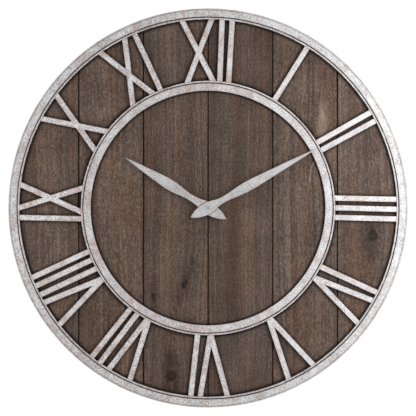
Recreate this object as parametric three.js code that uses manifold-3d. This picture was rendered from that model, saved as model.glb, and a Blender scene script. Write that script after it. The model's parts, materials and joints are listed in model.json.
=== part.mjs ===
// A 30-inch farmhouse wall clock: six vertical planks in a steel rim, Roman numerals of flat steel
// strip between two hoops, and a quartz movement behind the planks that turns two leaf-shaped hands.
//
// Everything is modelled in the dial frame and stood up on the wall at the end of the file:
//   x runs to the right as the dial is read, y runs up, and z runs from the wall towards the reader.
//   The arbor of the hands is the z axis, and the wall is the plane z = 0.
// The exported group has +Z up and -Y towards the reader, and its origin is the wall screw
// that the clock hangs on. All sizes are in millimetres.

import * as THREE from "three";
import { mergeVertices } from "three/addons/utils/BufferGeometryUtils.js";
import Module from "manifold-3d";

const wasm = await Module();
wasm.setup();

// ---------------------------------------------------------------- driving dimensions

const OUTER_R = 381; // half of 30 inches
const DEPTH = 38; // from the wall to the faces of the rim and the rings
const SHEET = 2; // sheet of the rim
const RIM_FACE_W = 15.6;
const SLOT_W = 1.6; // dark slot between a flat ring and its hoop
const HOOP_W = 3.2;
const INNER_RING_R = 224; // inside of the flat inner ring
const INNER_RING_W = 14.2;
const RING_T = 2.5; // thickness of the inner ring
const EDGE = 0.6; // broken edge of the steel
const RING_STEPS = 96; // facets of a full ring

const BAR_W = 10.3; // numeral strip
const BAR_T = 2.5;
const BAR_SET_BACK = 0.4; // numeral strips lie this far behind the hoops' faces
const WELD_GAP = 0.3; // between a strip's end and its hoop

const PLANKS = 6;
const DIAL_R = 371; // the planks are sawn to this radius
const PLANK_FRONT = 30;
const PLANK_T = 12;
const SEAM = 0.8; // open joint between two planks
const SEAM_BEVEL = 1.2;
const TONGUE = 4; // thickness of a tongue
const TONGUE_REACH = 3.4;
const GROOVE_DEPTH = 4;
const TONGUE_PLAY = 0.3; // on each side of a tongue
const HOLE_PLAY = 0.5; // in the planks, around the stem and the studs

const BATTEN_T = 11;
const BATTEN_W = 40;
const BATTEN_LENGTH = 560;
const BATTEN_BEVEL = 2;
const BATTEN_HEIGHT = 205; // middle of a batten above or below the arbor
const HANG_HEIGHT = BATTEN_HEIGHT + 7; // the top of the hanger's slot, above the arbor

const CASE_W = 56; // movement case, wide and high
const CASE_TOP = 22; // above the arbor
const CASE_BACK = 1;
const CASE_WALL = 1.5;
const STEM_R = 4;
const STEM_END = 34;

const HOUR_HAND_Z = 39.2; // back face of each hand
const MINUTE_HAND_Z = 42.2;
const HAND_T = 1.2;
const HOUR_HAND_ANGLE = 301.3; // clockwise from XII, in degrees
const MINUTE_HAND_ANGLE = 61.3;

// ---------------------------------------------------------------- worked out from those

const RIM_FACE_R = OUTER_R - RIM_FACE_W;
const OUTER_HOOP_R = RIM_FACE_R - SLOT_W; // outside of the outer hoop
const NUMERAL_OUT_R = OUTER_HOOP_R - HOOP_W;
const INNER_HOOP_R = INNER_RING_R + INNER_RING_W + SLOT_W; // inside of the inner hoop
const NUMERAL_IN_R = INNER_HOOP_R + HOOP_W;
const STUD_CIRCLE_R = INNER_RING_R + INNER_RING_W / 2; // the studs stand on the middle of the ring
const PLANK_W = (2 * DIAL_R) / PLANKS;
const PLANK_BACK = PLANK_FRONT - PLANK_T;
const BATTEN_BACK = PLANK_BACK - BATTEN_T;

// ---------------------------------------------------------------- solids

/** A closed three.js geometry as a solid that can be joined and cut. */
function solid(geometry) {
  const bare = new THREE.BufferGeometry();
  bare.setAttribute("position", geometry.getAttribute("position"));
  if (geometry.index) bare.setIndex(geometry.index);
  const merged = mergeVertices(bare, 1e-4);
  return new wasm.Manifold(
    new wasm.Mesh({
      numProp: 3,
      vertProperties: merged.attributes.position.array,
      triVerts: new Uint32Array(merged.index.array),
    }),
  );
}

/** A solid as a geometry for a mesh. */
function geometryOf(made) {
  const mesh = made.getMesh();
  const geometry = new THREE.BufferGeometry();
  geometry.setAttribute("position", new THREE.BufferAttribute(mesh.vertProperties, 3));
  geometry.setIndex(new THREE.BufferAttribute(mesh.triVerts, 1));
  geometry.computeVertexNormals();
  return geometry;
}

const join = (first, ...rest) => rest.reduce((sum, next) => sum.add(next), first);
const cut = (first, ...rest) => rest.reduce((left, next) => left.subtract(next), first);

const points = (pairs) => pairs.map(([x, y]) => new THREE.Vector2(x, y));

function block(x0, x1, y0, y1, z0, z1) {
  const box = new THREE.BoxGeometry(x1 - x0, y1 - y0, z1 - z0);
  box.translate((x0 + x1) / 2, (y0 + y1) / 2, (z0 + z1) / 2);
  return solid(box);
}

/** A round bar or its hole along z. */
function rod(radius, z0, z1, x = 0, y = 0, steps = 24) {
  const bar = new THREE.CylinderGeometry(radius, radius, z1 - z0, steps);
  bar.rotateX(Math.PI / 2);
  bar.translate(x, y, (z0 + z1) / 2);
  return solid(bar);
}

/** A thin pin or its hole along z. */
const pin = (radius, z0, z1, [x, y] = [0, 0]) => rod(radius, z0, z1, x, y, 12);

/** A flat plate with that outline. */
function plate(outline, z0, z1) {
  const flat = new THREE.ExtrudeGeometry(new THREE.Shape(outline), {
    depth: z1 - z0,
    bevelEnabled: false,
  });
  flat.translate(0, 0, z0);
  return solid(flat);
}

/** A closed profile of [radius, x] points from the axis to the axis, turned about the x axis. */
function spindle(profile, [x, y, z]) {
  const round = new THREE.LatheGeometry(points(profile), 24);
  round.rotateZ(-Math.PI / 2);
  round.translate(x, y, z);
  return solid(round);
}

/** A closed profile of [radius, z] points, turned about the z axis. */
function turned(profile) {
  const round = new THREE.LatheGeometry(points([...profile, profile[0]]), RING_STEPS);
  round.rotateX(Math.PI / 2);
  return solid(round);
}

/** A flat ring with broken front edges. */
function ring(innerR, outerR, z0, z1) {
  return turned([
    [innerR, z0],
    [outerR, z0],
    [outerR, z1 - EDGE],
    [outerR - EDGE, z1],
    [innerR + EDGE, z1],
    [innerR, z1 - EDGE],
  ]);
}

/** Copies of a solid, turned clockwise about the z axis. */
const around = (made, angles) => angles.map((angle) => made.rotate([0, 0, -angle]));

// ---------------------------------------------------------------- materials

const finish = (color, roughness, metalness) =>
  new THREE.MeshStandardMaterial({ color, roughness, metalness });

const whitewash = finish(0xcfccc9, 0.62, 0.2);
const stainedFir = finish(0x5d5049, 0.78, 0);
const rawFir = finish(0x9c7a55, 0.8, 0);
const blackPlastic = finish(0x1c1c1d, 0.5, 0);
const whitePlastic = finish(0xd9d7d0, 0.45, 0);
const brass = finish(0xb8934a, 0.35, 1);
const zincSteel = finish(0xa9abad, 0.4, 1);
const iron = finish(0x55585c, 0.5, 1);
const copper = finish(0xb5603a, 0.4, 1);
const greenBoard = finish(0x1f4d33, 0.55, 0);
const batteryJacket = finish(0x2f6f8f, 0.35, 0.3);

// ---------------------------------------------------------------- the tree

const clock = new THREE.Group();

function assembly(parent = clock) {
  const group = new THREE.Group();
  parent.add(group);
  return group;
}

function add(group, name, made, material) {
  const mesh = new THREE.Mesh(geometryOf(made), material);
  mesh.name = name;
  group.add(mesh);
  return mesh;
}

// ---------------------------------------------------------------- steel frame

const LUG_W = 14;
const LUG_T = 1.6;
const LUG_REACH = 7; // how far a lug runs under the flat ring
const LUG_ROOT = 1; // and how far into its hoop
const LUG_ANGLES = [0, 1, 2, 3, 4, 5, 6, 7].map((i) => 22.5 + 45 * i);
const TAB_W = 18;
const TAB_REACH = 18; // how far a tab runs in behind the planks
const TAB_HOLE_R = 2.2;
const TAB_ANGLES = [15, 75, 105, 165, 195, 255, 285, 345];
const STUD_R = 2.5;
const STUD_ANGLES = [45, 135, 225, 315];
const STUD_END = 9; // the studs' threads end this far from the wall

/** The rolled angle that frames the clock, with bent tabs that hold the planks from behind. */
function rim() {
  const angle = turned([
    [OUTER_R - SHEET, 0],
    [OUTER_R, 0],
    [OUTER_R, DEPTH - EDGE],
    [OUTER_R - EDGE, DEPTH],
    [RIM_FACE_R + EDGE, DEPTH],
    [RIM_FACE_R, DEPTH - EDGE],
    [RIM_FACE_R, DEPTH - SHEET],
    [OUTER_R - SHEET, DEPTH - SHEET],
  ]);
  const front = PLANK_BACK - WELD_GAP;
  const [inside, outside] = [DIAL_R - TAB_REACH, OUTER_R - SHEET / 2];
  const tab = block(-TAB_W / 2, TAB_W / 2, inside, outside, front - SHEET, front);
  const hole = pin(TAB_HOLE_R, 0, DEPTH, [0, DIAL_R - TAB_REACH / 2]);
  return join(angle, ...around(cut(tab, hole), TAB_ANGLES));
}

/** A hoop on edge, with lugs behind the flat ring beside it that tie the two together. */
function hoop(innerR, outerR, lugFrom, lugTo, lugFront) {
  const lug = block(-LUG_W / 2, LUG_W / 2, lugFrom, lugTo, lugFront - LUG_T, lugFront);
  const strip = ring(innerR, outerR, PLANK_FRONT, DEPTH);
  return join(strip, ...around(lug, LUG_ANGLES));
}

function outerHoop() {
  const lugFront = DEPTH - SHEET - WELD_GAP;
  const [from, to] = [OUTER_HOOP_R - LUG_ROOT, OUTER_HOOP_R + LUG_REACH];
  return hoop(NUMERAL_OUT_R, OUTER_HOOP_R, from, to, lugFront);
}

function innerHoop() {
  const lugFront = DEPTH - RING_T - WELD_GAP;
  const [from, to] = [INNER_HOOP_R - LUG_REACH, INNER_HOOP_R + LUG_ROOT];
  return hoop(INNER_HOOP_R, NUMERAL_IN_R, from, to, lugFront);
}

/** The flat inner ring, with four welded studs that go through the planks. */
function innerRing() {
  const flat = ring(INNER_RING_R, INNER_RING_R + INNER_RING_W, DEPTH - RING_T, DEPTH);
  const stud = pin(STUD_R, STUD_END, DEPTH - RING_T / 2, [0, STUD_CIRCLE_R]);
  return join(flat, ...around(stud, STUD_ANGLES));
}

const frame = assembly();
add(frame, "rim", rim(), whitewash);
add(frame, "outer_hoop", outerHoop(), whitewash);
add(frame, "inner_ring", innerRing(), whitewash);
add(frame, "inner_hoop", innerHoop(), whitewash);

// ---------------------------------------------------------------- numerals

// Where each strip's centre line meets the inner and the outer hoop, in millimetres clockwise
// of the hour's own radius. The strips were laid by hand, so no two numerals are quite alike.
const NUMERALS = [
  { hour: 1, I: [[7, 11]] },
  { hour: 2, I: [[-4, -3], [12.5, 15.5]] },
  { hour: 3, I: [[-19, -16.5], [-0.5, 2.5], [18, 21]] },
  { hour: 4, I: [[-10.5, -21.5]], V: [[13.5, -4], [14, 48]] },
  { hour: 5, V: [[2.5, -24.5], [5.5, 30]] },
  { hour: 6, V: [[-5.5, -37.5], [-4.5, 15]], I: [[20, 33]] },
  { hour: 7, V: [[-9, -35.5], [-5.5, 10]], I: [[16, 31], [32.5, 50.5]] },
  { hour: 8, V: [[-17, -52], [-16, 0]], I: [[6.5, 16.5], [25.5, 35.5], [42.5, 53]] },
  { hour: 9, I: [[-20.5, -18]], X: [[-7, 46], [37, 0.5]] },
  { hour: 10, X: [[-12, 42.5], [29, -11]] },
  { hour: 11, X: [[-25.5, 24.5], [17.5, -30]], I: [[34.5, 45]] },
  { hour: 12, X: [[-38, 7], [9.5, -51]], I: [[22.5, 27], [39.5, 46.5]] },
];
const ROMAN = ["I", "II", "III", "IV", "V", "VI", "VII", "VIII", "IX", "X", "XI", "XII"];

const BAR_FRONT = DEPTH - BAR_SET_BACK;

/** The band that the numeral strips are sawn to, a little clear of both hoops. */
const numeralBand = cut(
  rod(NUMERAL_OUT_R - WELD_GAP, BAR_FRONT - BAR_T, BAR_FRONT, 0, 0, RING_STEPS),
  rod(NUMERAL_IN_R + WELD_GAP, 0, DEPTH, 0, 0, RING_STEPS),
);

/** One strip from hoop to hoop, before it is sawn to the band. */
function strip([innerOffset, outerOffset]) {
  const run = NUMERAL_OUT_R - NUMERAL_IN_R;
  const lean = Math.atan2(outerOffset - innerOffset, run);
  const length = run / Math.cos(lean) + 4 * BAR_W;
  const bar = block(-BAR_W / 2, BAR_W / 2, -length / 2, length / 2, 0, DEPTH);
  return bar
    .rotate([0, 0, -THREE.MathUtils.radToDeg(lean)])
    .translate([(innerOffset + outerOffset) / 2, (NUMERAL_IN_R + NUMERAL_OUT_R) / 2, 0]);
}

/** Strips of one numeral, joined, sawn to the band and turned to their hour. */
const numeralPiece = (hour, strips) =>
  join(...strips.map(strip)).rotate([0, 0, -30 * hour]).intersect(numeralBand);

const numerals = assembly();
for (const { hour, I = [], V, X } of NUMERALS) {
  const roman = ROMAN[hour - 1];
  I.forEach((one, i) =>
    add(numerals, `numeral_${roman}_bar_${i + 1}`, numeralPiece(hour, [one]), whitewash),
  );
  if (V) add(numerals, `numeral_${roman}_vee`, numeralPiece(hour, V), whitewash);
  if (X) add(numerals, `numeral_${roman}_cross`, numeralPiece(hour, X), whitewash);
}

// ---------------------------------------------------------------- planks and battens

/** A plank's section, with broken front edges, a tongue on its right and a groove on its left. */
function plankSection(left, right, hasGroove, hasTongue) {
  const middle = PLANK_FRONT - PLANK_T / 2;
  const tongue = TONGUE / 2;
  const groove = tongue + TONGUE_PLAY;
  const outline = [[left, PLANK_BACK], [right, PLANK_BACK]];
  if (hasTongue)
    outline.push(
      [right, middle - tongue],
      [right + TONGUE_REACH, middle - tongue],
      [right + TONGUE_REACH, middle + tongue],
      [right, middle + tongue],
    );
  outline.push(
    [right, PLANK_FRONT - SEAM_BEVEL],
    [right - SEAM_BEVEL, PLANK_FRONT],
    [left + SEAM_BEVEL, PLANK_FRONT],
    [left, PLANK_FRONT - SEAM_BEVEL],
  );
  if (hasGroove)
    outline.push(
      [left, middle + groove],
      [left + GROOVE_DEPTH, middle + groove],
      [left + GROOVE_DEPTH, middle - groove],
      [left, middle - groove],
    );
  return new THREE.Shape(points(outline));
}

/** One plank, sawn to the disc of the dial and bored for the stem and the studs. */
function plank(index) {
  const left = -DIAL_R + index * PLANK_W + SEAM / 2;
  const right = left + PLANK_W - SEAM;
  const section = plankSection(left, right, index > 0, index < PLANKS - 1);
  const options = { depth: 2 * DIAL_R, bevelEnabled: false };
  const board = new THREE.ExtrudeGeometry(section, options);
  board.rotateX(Math.PI / 2);
  board.translate(0, DIAL_R, 0);
  const disc = rod(DIAL_R, 0, DEPTH, 0, 0, RING_STEPS);
  const stemHole = rod(STEM_R + HOLE_PLAY, 0, DEPTH);
  const studHole = pin(STUD_R + HOLE_PLAY, 0, DEPTH, [0, STUD_CIRCLE_R]);
  return cut(solid(board).intersect(disc), stemHole, ...around(studHole, STUD_ANGLES));
}

/** A batten across the back of the planks. */
function batten(height) {
  const low = height - BATTEN_W / 2;
  const high = height + BATTEN_W / 2;
  const outline = [
    [low, PLANK_BACK],
    [low, BATTEN_BACK + BATTEN_BEVEL],
    [low + BATTEN_BEVEL, BATTEN_BACK],
    [high - BATTEN_BEVEL, BATTEN_BACK],
    [high, BATTEN_BACK + BATTEN_BEVEL],
    [high, PLANK_BACK],
  ];
  const options = { depth: BATTEN_LENGTH, bevelEnabled: false };
  const bar = new THREE.ExtrudeGeometry(new THREE.Shape(points(outline)), options);
  // the section's own x is the dial's y, its y is the dial's z, and the bar runs along x
  const axes = [new THREE.Vector3(0, 1, 0), new THREE.Vector3(0, 0, 1), new THREE.Vector3(1, 0, 0)];
  bar.applyMatrix4(new THREE.Matrix4().makeBasis(...axes));
  bar.translate(-BATTEN_LENGTH / 2, 0, 0);
  return solid(bar);
}

const dial = assembly();
for (let i = 0; i < PLANKS; i += 1) add(dial, `plank_${i + 1}`, plank(i), stainedFir);
add(dial, "batten_upper", batten(BATTEN_HEIGHT), rawFir);
add(dial, "batten_lower", batten(-BATTEN_HEIGHT), rawFir);

// ---------------------------------------------------------------- wall hanger

const HANGER_W = 64;
const HANGER_H = 26;
const HANGER_T = 1.4;
const HANGER_RISE = 5; // how far the bridge stands off the batten
const BRIDGE_W = 30;
const HANGER_SCREW_R = 2;
const HANGER_SCREW_IN = 6; // from the strap's end to the middle of its screw hole
const KEYHOLE_R = 6; // the screw's head goes in here
const KEYHOLE_SLOT = 5.6; // and its shank hangs here
const KEYHOLE_DROP = 12; // from the top of the slot to the middle of the round hole

/** A pressed strap whose raised middle has a keyhole: the wall screw's head locks behind it. */
function hanger() {
  const foot = HANGER_W / 2;
  const knee = BRIDGE_W / 2 + HANGER_RISE;
  const top = BRIDGE_W / 2;
  const footBack = BATTEN_BACK - HANGER_T;
  const bridgeFront = BATTEN_BACK - HANGER_RISE;
  const bridgeBack = bridgeFront - HANGER_T;
  const rightHalf = [
    [top, bridgeBack],
    [knee, footBack],
    [foot, footBack],
    [foot, BATTEN_BACK],
    [knee - HANGER_T, BATTEN_BACK],
    [top - HANGER_T, bridgeFront],
  ];
  const leftHalf = rightHalf.map(([x, z]) => [-x, z]).reverse();
  const section = new THREE.Shape(points([...rightHalf, ...leftHalf]));
  const strap = new THREE.ExtrudeGeometry(section, { depth: HANGER_H, bevelEnabled: false });
  strap.rotateX(Math.PI / 2);
  strap.translate(0, BATTEN_HEIGHT + HANGER_H / 2, 0);
  const through = [bridgeBack - 1, bridgeFront + 1];
  const entry = HANG_HEIGHT - KEYHOLE_DROP;
  const slotEnd = HANG_HEIGHT - KEYHOLE_SLOT / 2; // the middle of its round top
  const keyhole = [
    rod(KEYHOLE_R, ...through, 0, entry),
    block(-KEYHOLE_SLOT / 2, KEYHOLE_SLOT / 2, entry, slotEnd, ...through),
    rod(KEYHOLE_SLOT / 2, ...through, 0, slotEnd),
  ];
  const screwX = foot - HANGER_SCREW_IN;
  const screwHoles = [-screwX, screwX].map((x) =>
    pin(HANGER_SCREW_R, footBack - 1, BATTEN_BACK + 1, [x, BATTEN_HEIGHT]),
  );
  return cut(solid(strap), ...keyhole, ...screwHoles);
}

add(dial, "wall_hanger", hanger(), zincSteel);

// ---------------------------------------------------------------- gears

const TOOTH_TIP = 0.72; // above the pitch circle, in modules
const TOOTH_ROOT = 1.2;
const TIP_SHARE = 0.11; // half of a tooth's width, as a share of the pitch
const ROOT_SHARE = 0.21;

/** The place at a distance from another, in a direction in radians. */
const at = ([x, y], distance, direction) => [
  x + distance * Math.cos(direction),
  y + distance * Math.sin(direction),
];

/** A spur gear with straight-sided teeth, one of them at the angle phase, in radians. */
function gear(teeth, module, phase, [z0, z1], [x, y] = [0, 0]) {
  const pitchR = (teeth * module) / 2;
  const pitch = (2 * Math.PI) / teeth;
  const rootR = pitchR - TOOTH_ROOT * module;
  const tipR = pitchR + TOOTH_TIP * module;
  const outline = [];
  for (let i = 0; i < teeth; i += 1) {
    const corner = (radius, share) => at([x, y], radius, phase + (i + share) * pitch);
    outline.push(corner(rootR, -ROOT_SHARE), corner(tipR, -TIP_SHARE));
    outline.push(corner(tipR, TIP_SHARE), corner(rootR, ROOT_SHARE));
  }
  return plate(points(outline), z0, z1);
}

/** The phase that puts a gear in mesh with one whose phase is known, in that direction from it. */
function meshed(phase, teeth, direction, otherTeeth) {
  const along = ((direction - phase) * teeth) / (2 * Math.PI);
  return direction + Math.PI - ((2 * Math.PI) / otherTeeth) * (0.5 - along);
}

// Teeth of the motion work, 12 to 1 from the minute arbor to the hour pipe.
const CANNON = 8;
const MOTION_WHEEL = 24;
const MOTION_PINION = 8;
const HOUR_WHEEL = 32;
const MOTION_DISTANCE = 10;
const CANNON_MODULE = (2 * MOTION_DISTANCE) / (CANNON + MOTION_WHEEL);
const HOUR_MODULE = (2 * MOTION_DISTANCE) / (MOTION_PINION + HOUR_WHEEL);

// Teeth of the train, 1800 to 1 from the rotor to the minute arbor.
const LEAVES = 6; // every pinion of the train
const CENTRE_WHEEL = 48;
const THIRD_WHEEL = 45;
const FOURTH_WHEEL = 36;
const FIFTH_WHEEL = 30;
const THIRD_DISTANCE = 14.4; // the fourth arbor is back on the clock's axis
const FIFTH_DISTANCE = 8.4;
const ROTOR_DISTANCE = 7.2;
const moduleFor = (distance, wheel) => (2 * distance) / (wheel + LEAVES);
const THIRD_MODULE = moduleFor(THIRD_DISTANCE, CENTRE_WHEEL); // centre wheel and third pinion
const FOURTH_MODULE = moduleFor(THIRD_DISTANCE, THIRD_WHEEL); // third wheel and fourth pinion
const FIFTH_MODULE = moduleFor(FIFTH_DISTANCE, FOURTH_WHEEL); // fourth wheel and fifth pinion
const ROTOR_MODULE = moduleFor(ROTOR_DISTANCE, FIFTH_WHEEL); // fifth wheel and rotor pinion

const toMotion = THREE.MathUtils.degToRad(120);
const toThird = THREE.MathUtils.degToRad(25);
const toFifth = THREE.MathUtils.degToRad(195);

const AXIS = [0, 0];
const motionPost = at(AXIS, MOTION_DISTANCE, toMotion);
const knobArbor = at(motionPost, MOTION_DISTANCE, toMotion);
const thirdArbor = at(AXIS, THIRD_DISTANCE, toThird);
const fifthArbor = at(AXIS, FIFTH_DISTANCE, toFifth);
const rotorArbor = at(fifthArbor, ROTOR_DISTANCE, toFifth);

// Levels in the case, from its front to its back.
const HOUR_LEVEL = [14.6, 15.6];
const MOTION_LEVEL = [12.6, 13.6];
const CENTRE_LEVEL = [10.6, 11.4];
const BRIDGE_LEVEL = [9.5, 10.3];
const THIRD_LEVEL = [8.2, 9.0];
const STATOR_LEVEL = [7.3, 8.1];
const FOURTH_LEVEL = [6.0, 6.8];
const FIFTH_LEVEL = [4.0, 4.8];
const wider = ([z0, z1], by = 0.2) => [z0 - by, z1 + by];

const CASE_FLOOR = PLANK_BACK - CASE_WALL; // inside face of the case's front
const COVER_FRONT = CASE_BACK + CASE_WALL; // inside face of the cover
const PIVOT_R = 0.6;
const PIVOT_HOLE_R = 0.8;
const PIVOT_IN = 0.8; // length of a pivot in its hole
const PIVOT_HOLE_DEPTH = 1;
const ARBOR_R = 0.8;
const ARBOR_PLAY = 0.8; // around an arbor that passes through a plate
const SHOULDER = 0.3; // between an arbor's shoulder and the plate its pivot runs in
const MINUTE_ARBOR_BACK = CENTRE_LEVEL[0] - 0.2; // the fourth arbor's front pivot runs in it

const phases = { cannon: 0, motionPinion: 0, centre: 0, thirdWheel: 0, fourthWheel: 0, fifthWheel: 0 };
phases.motionWheel = meshed(phases.cannon, CANNON, toMotion, MOTION_WHEEL);
phases.knobPinion = meshed(phases.motionWheel, MOTION_WHEEL, toMotion, CANNON);
phases.hourWheel = meshed(phases.motionPinion, MOTION_PINION, toMotion + Math.PI, HOUR_WHEEL);
phases.thirdPinion = meshed(phases.centre, CENTRE_WHEEL, toThird, LEAVES);
phases.fourthPinion = meshed(phases.thirdWheel, THIRD_WHEEL, toThird + Math.PI, LEAVES);
phases.fifthPinion = meshed(phases.fourthWheel, FOURTH_WHEEL, toFifth, LEAVES);
phases.rotorPinion = meshed(phases.fifthWheel, FIFTH_WHEEL, toFifth, LEAVES);

// ---------------------------------------------------------------- movement case

const CASE_BOTTOM = CASE_TOP - CASE_W;
const HALF_CASE = CASE_W / 2;
const INSIDE = HALF_CASE - CASE_WALL; // half of the room inside the case
const BATTERY_R = 7.1;
const BATTERY_LENGTH = 49.2;
const BATTERY_PLAY = 0.5;
const BATTERY_Y = CASE_BOTTOM + CASE_WALL + BATTERY_PLAY + BATTERY_R;
const BATTERY_Z = CASE_FLOOR - 0.2 - BATTERY_R;
const BAY_TOP = BATTERY_Y + BATTERY_R + BATTERY_PLAY; // top of the battery's bay
const TRAIN_BOTTOM = BAY_TOP + CASE_WALL; // the train has the rest of the case
const HOUR_PIPE_R = 2.5;
const HOUR_BORE_R = 1.8;
const PIPE_PLAY = 0.25; // around the hour pipe, in the stem
const MINUTE_ARBOR_R = 1.5;
const POST_PLAY = 0.2; // around the post of the motion wheel
const POST_REACH = 0.6; // how far the post comes through the motion wheel
const KNOB_R = 4.2;
const KNOB_BACK = 0.1; // clear of the wall
const KNOB_FRONT = 0.8; // clear of the cover
const KNOB_STEM_R = 1.1;
const KNOB_STEM_PLAY = 0.3;

const STATOR_LEFT = -25;
const STATOR_RIGHT = -5;
const STATOR_TOP = 1;
const STATOR_ARM = 2.7; // width of its two upright arms
const CORE_Y = -12.2; // its lower edge is the core of the coil
const CORE_W = 2;
const ROTOR_MAGNET_R = 2.6;

const BRIDGE_LEFT = STATOR_LEFT;
const BRIDGE_RIGHT = 20;
const BRIDGE_LOW = -8.8;
const BRIDGE_HIGH = 9.5;
const LEG_R = 1.2;
const LEGS = [[-18, -7], [-18, 8], [18.4, -7], [18.4, 8]];
const PEG_R = 1;
const PEGS = [[-23.2, -6.5], [-23.2, -1.5]]; // over the stator's left arm
const ROOT = 0.2; // how far a leg or a boss runs into the piece it is moulded on

/** The tub of the movement, open at the back, with the threaded stem on its front. */
function movementCase() {
  const tub = cut(
    block(-HALF_CASE, HALF_CASE, CASE_BOTTOM, CASE_TOP, CASE_BACK, PLANK_BACK),
    block(-INSIDE, INSIDE, TRAIN_BOTTOM, CASE_TOP - CASE_WALL, 0, CASE_FLOOR),
    block(-INSIDE, INSIDE, CASE_BOTTOM + CASE_WALL, BAY_TOP, 0, CASE_FLOOR),
  );
  const stem = rod(STEM_R, CASE_FLOOR + ROOT, STEM_END);
  const bore = rod(HOUR_PIPE_R + PIPE_PLAY, CASE_FLOOR - 1, STEM_END + 1);
  const post = pin(ARBOR_R, MOTION_LEVEL[0] - POST_REACH, CASE_FLOOR + ROOT, motionPost);
  const pivots = [thirdArbor, knobArbor].map((place) =>
    pin(PIVOT_HOLE_R, CASE_FLOOR - 1, CASE_FLOOR + PIVOT_HOLE_DEPTH, place),
  );
  return cut(join(tub, stem, post), bore, ...pivots);
}

/** The lid over the train, with the pivot holes of four arbors and the hole of the set knob. */
function movementCover() {
  const half = INSIDE - WELD_GAP;
  const low = TRAIN_BOTTOM + WELD_GAP;
  const high = CASE_TOP - CASE_WALL - WELD_GAP;
  const lid = block(-half, half, low, high, CASE_BACK, COVER_FRONT);
  const pivots = [thirdArbor, AXIS, fifthArbor, rotorArbor].map((place) =>
    pin(PIVOT_HOLE_R, COVER_FRONT - PIVOT_HOLE_DEPTH, DEPTH, place),
  );
  return cut(lid, pin(KNOB_STEM_R + KNOB_STEM_PLAY, 0, DEPTH, knobArbor), ...pivots);
}

/** The plate between the centre wheel and the third wheel, on four legs from the case's front. */
function trainBridge() {
  const sheet = block(BRIDGE_LEFT, BRIDGE_RIGHT, BRIDGE_LOW, BRIDGE_HIGH, ...BRIDGE_LEVEL);
  const [back, front] = BRIDGE_LEVEL;
  const legs = LEGS.map((place) => pin(LEG_R, back + ROOT, CASE_FLOOR - WELD_GAP, place));
  const pegs = PEGS.map((place) => pin(PEG_R, STATOR_LEVEL[1] + WELD_GAP, front - ROOT, place));
  const holes = [
    pin(ARBOR_R + ARBOR_PLAY, 0, DEPTH, AXIS),
    pin(ARBOR_R + ARBOR_PLAY, 0, DEPTH, thirdArbor),
    pin(PIVOT_HOLE_R, 0, DEPTH, fifthArbor),
    pin(PIVOT_HOLE_R, 0, DEPTH, rotorArbor),
  ];
  return cut(join(sheet, ...legs, ...pegs), ...holes);
}

const FLANGE_R = 9;
const FLANGE_T = 0.8;
const HEXAGON_R = 6.6; // to its corners
const NUT_H = 3.2;
const THREAD_PLAY = 0.15;

/** The brass nut that clamps the case to the planks, with a round flange under its hexagon. */
function mountingNut() {
  const flange = rod(FLANGE_R, PLANK_FRONT, PLANK_FRONT + FLANGE_T, 0, 0, 32);
  const hexagon = rod(HEXAGON_R, PLANK_FRONT + ROOT, PLANK_FRONT + NUT_H, 0, 0, 6);
  return cut(join(flange, hexagon), rod(STEM_R + THREAD_PLAY, 0, DEPTH));
}

const movement = assembly();
add(movement, "movement_case", movementCase(), blackPlastic);
add(movement, "movement_cover", movementCover(), blackPlastic);
add(movement, "train_bridge", trainBridge(), whitePlastic);
add(movement, "mounting_nut", mountingNut(), brass);

// ---------------------------------------------------------------- battery and motor

const NUB_R = 2.7;
const NUB_H = 1;
const CONTACT_T = 0.4;
const CONTACT_HALF = 4; // half of a contact's width and height
const CONTACT_GAP = 0.1; // from the end of the bay
const DIMPLE = 1.4; // half of the positive contact's dimple
const DIMPLE_H = 0.3;
const LEAF_W = 7;
const LEAF_BEND = 2.6; // above the battery's axis, where the leaf leaves its foot
const LEAF_KNEE = 1; // how far its knee stands out towards the battery
const LEAF_T = 0.3;

/** An AA cell on its side, with its raised positive end on the right. */
function battery() {
  const half = BATTERY_LENGTH / 2;
  const shoulder = BATTERY_R - 0.8;
  const profile = [
    [0, -half],
    [BATTERY_R - EDGE, -half],
    [BATTERY_R, EDGE - half],
    [BATTERY_R, half - EDGE],
    [shoulder, half],
    [NUB_R, half],
    [NUB_R, half + NUB_H],
    [0, half + NUB_H],
  ];
  return spindle(profile, [0, BATTERY_Y, BATTERY_Z]);
}

/** The flat pad behind the battery's raised end, dimpled towards it. */
function positiveContact() {
  const front = INSIDE - CONTACT_GAP - CONTACT_T;
  const square = (half, x0, x1) =>
    block(x0, x1, BATTERY_Y - half, BATTERY_Y + half, BATTERY_Z - half, BATTERY_Z + half);
  return join(
    square(CONTACT_HALF, front, front + CONTACT_T),
    square(DIMPLE, front - DIMPLE_H, front + ROOT),
  );
}

/** The leaf that presses on the battery's flat end. */
function negativeContact() {
  const back = CONTACT_GAP - INSIDE;
  const front = back + CONTACT_T;
  const knee = front + LEAF_KNEE;
  const leaf = points([
    [back, BATTERY_Z - CONTACT_HALF],
    [front, BATTERY_Z - CONTACT_HALF],
    [front, BATTERY_Z + LEAF_BEND],
    [knee, BATTERY_Z],
    [knee + LEAF_T, BATTERY_Z + LEAF_T],
    [front, BATTERY_Z + CONTACT_HALF],
    [back, BATTERY_Z + CONTACT_HALF],
  ]);
  const bent = new THREE.ExtrudeGeometry(new THREE.Shape(leaf), { depth: LEAF_W, bevelEnabled: false });
  bent.rotateX(Math.PI / 2);
  bent.translate(0, BATTERY_Y + LEAF_W / 2, 0);
  return solid(bent);
}

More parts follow.
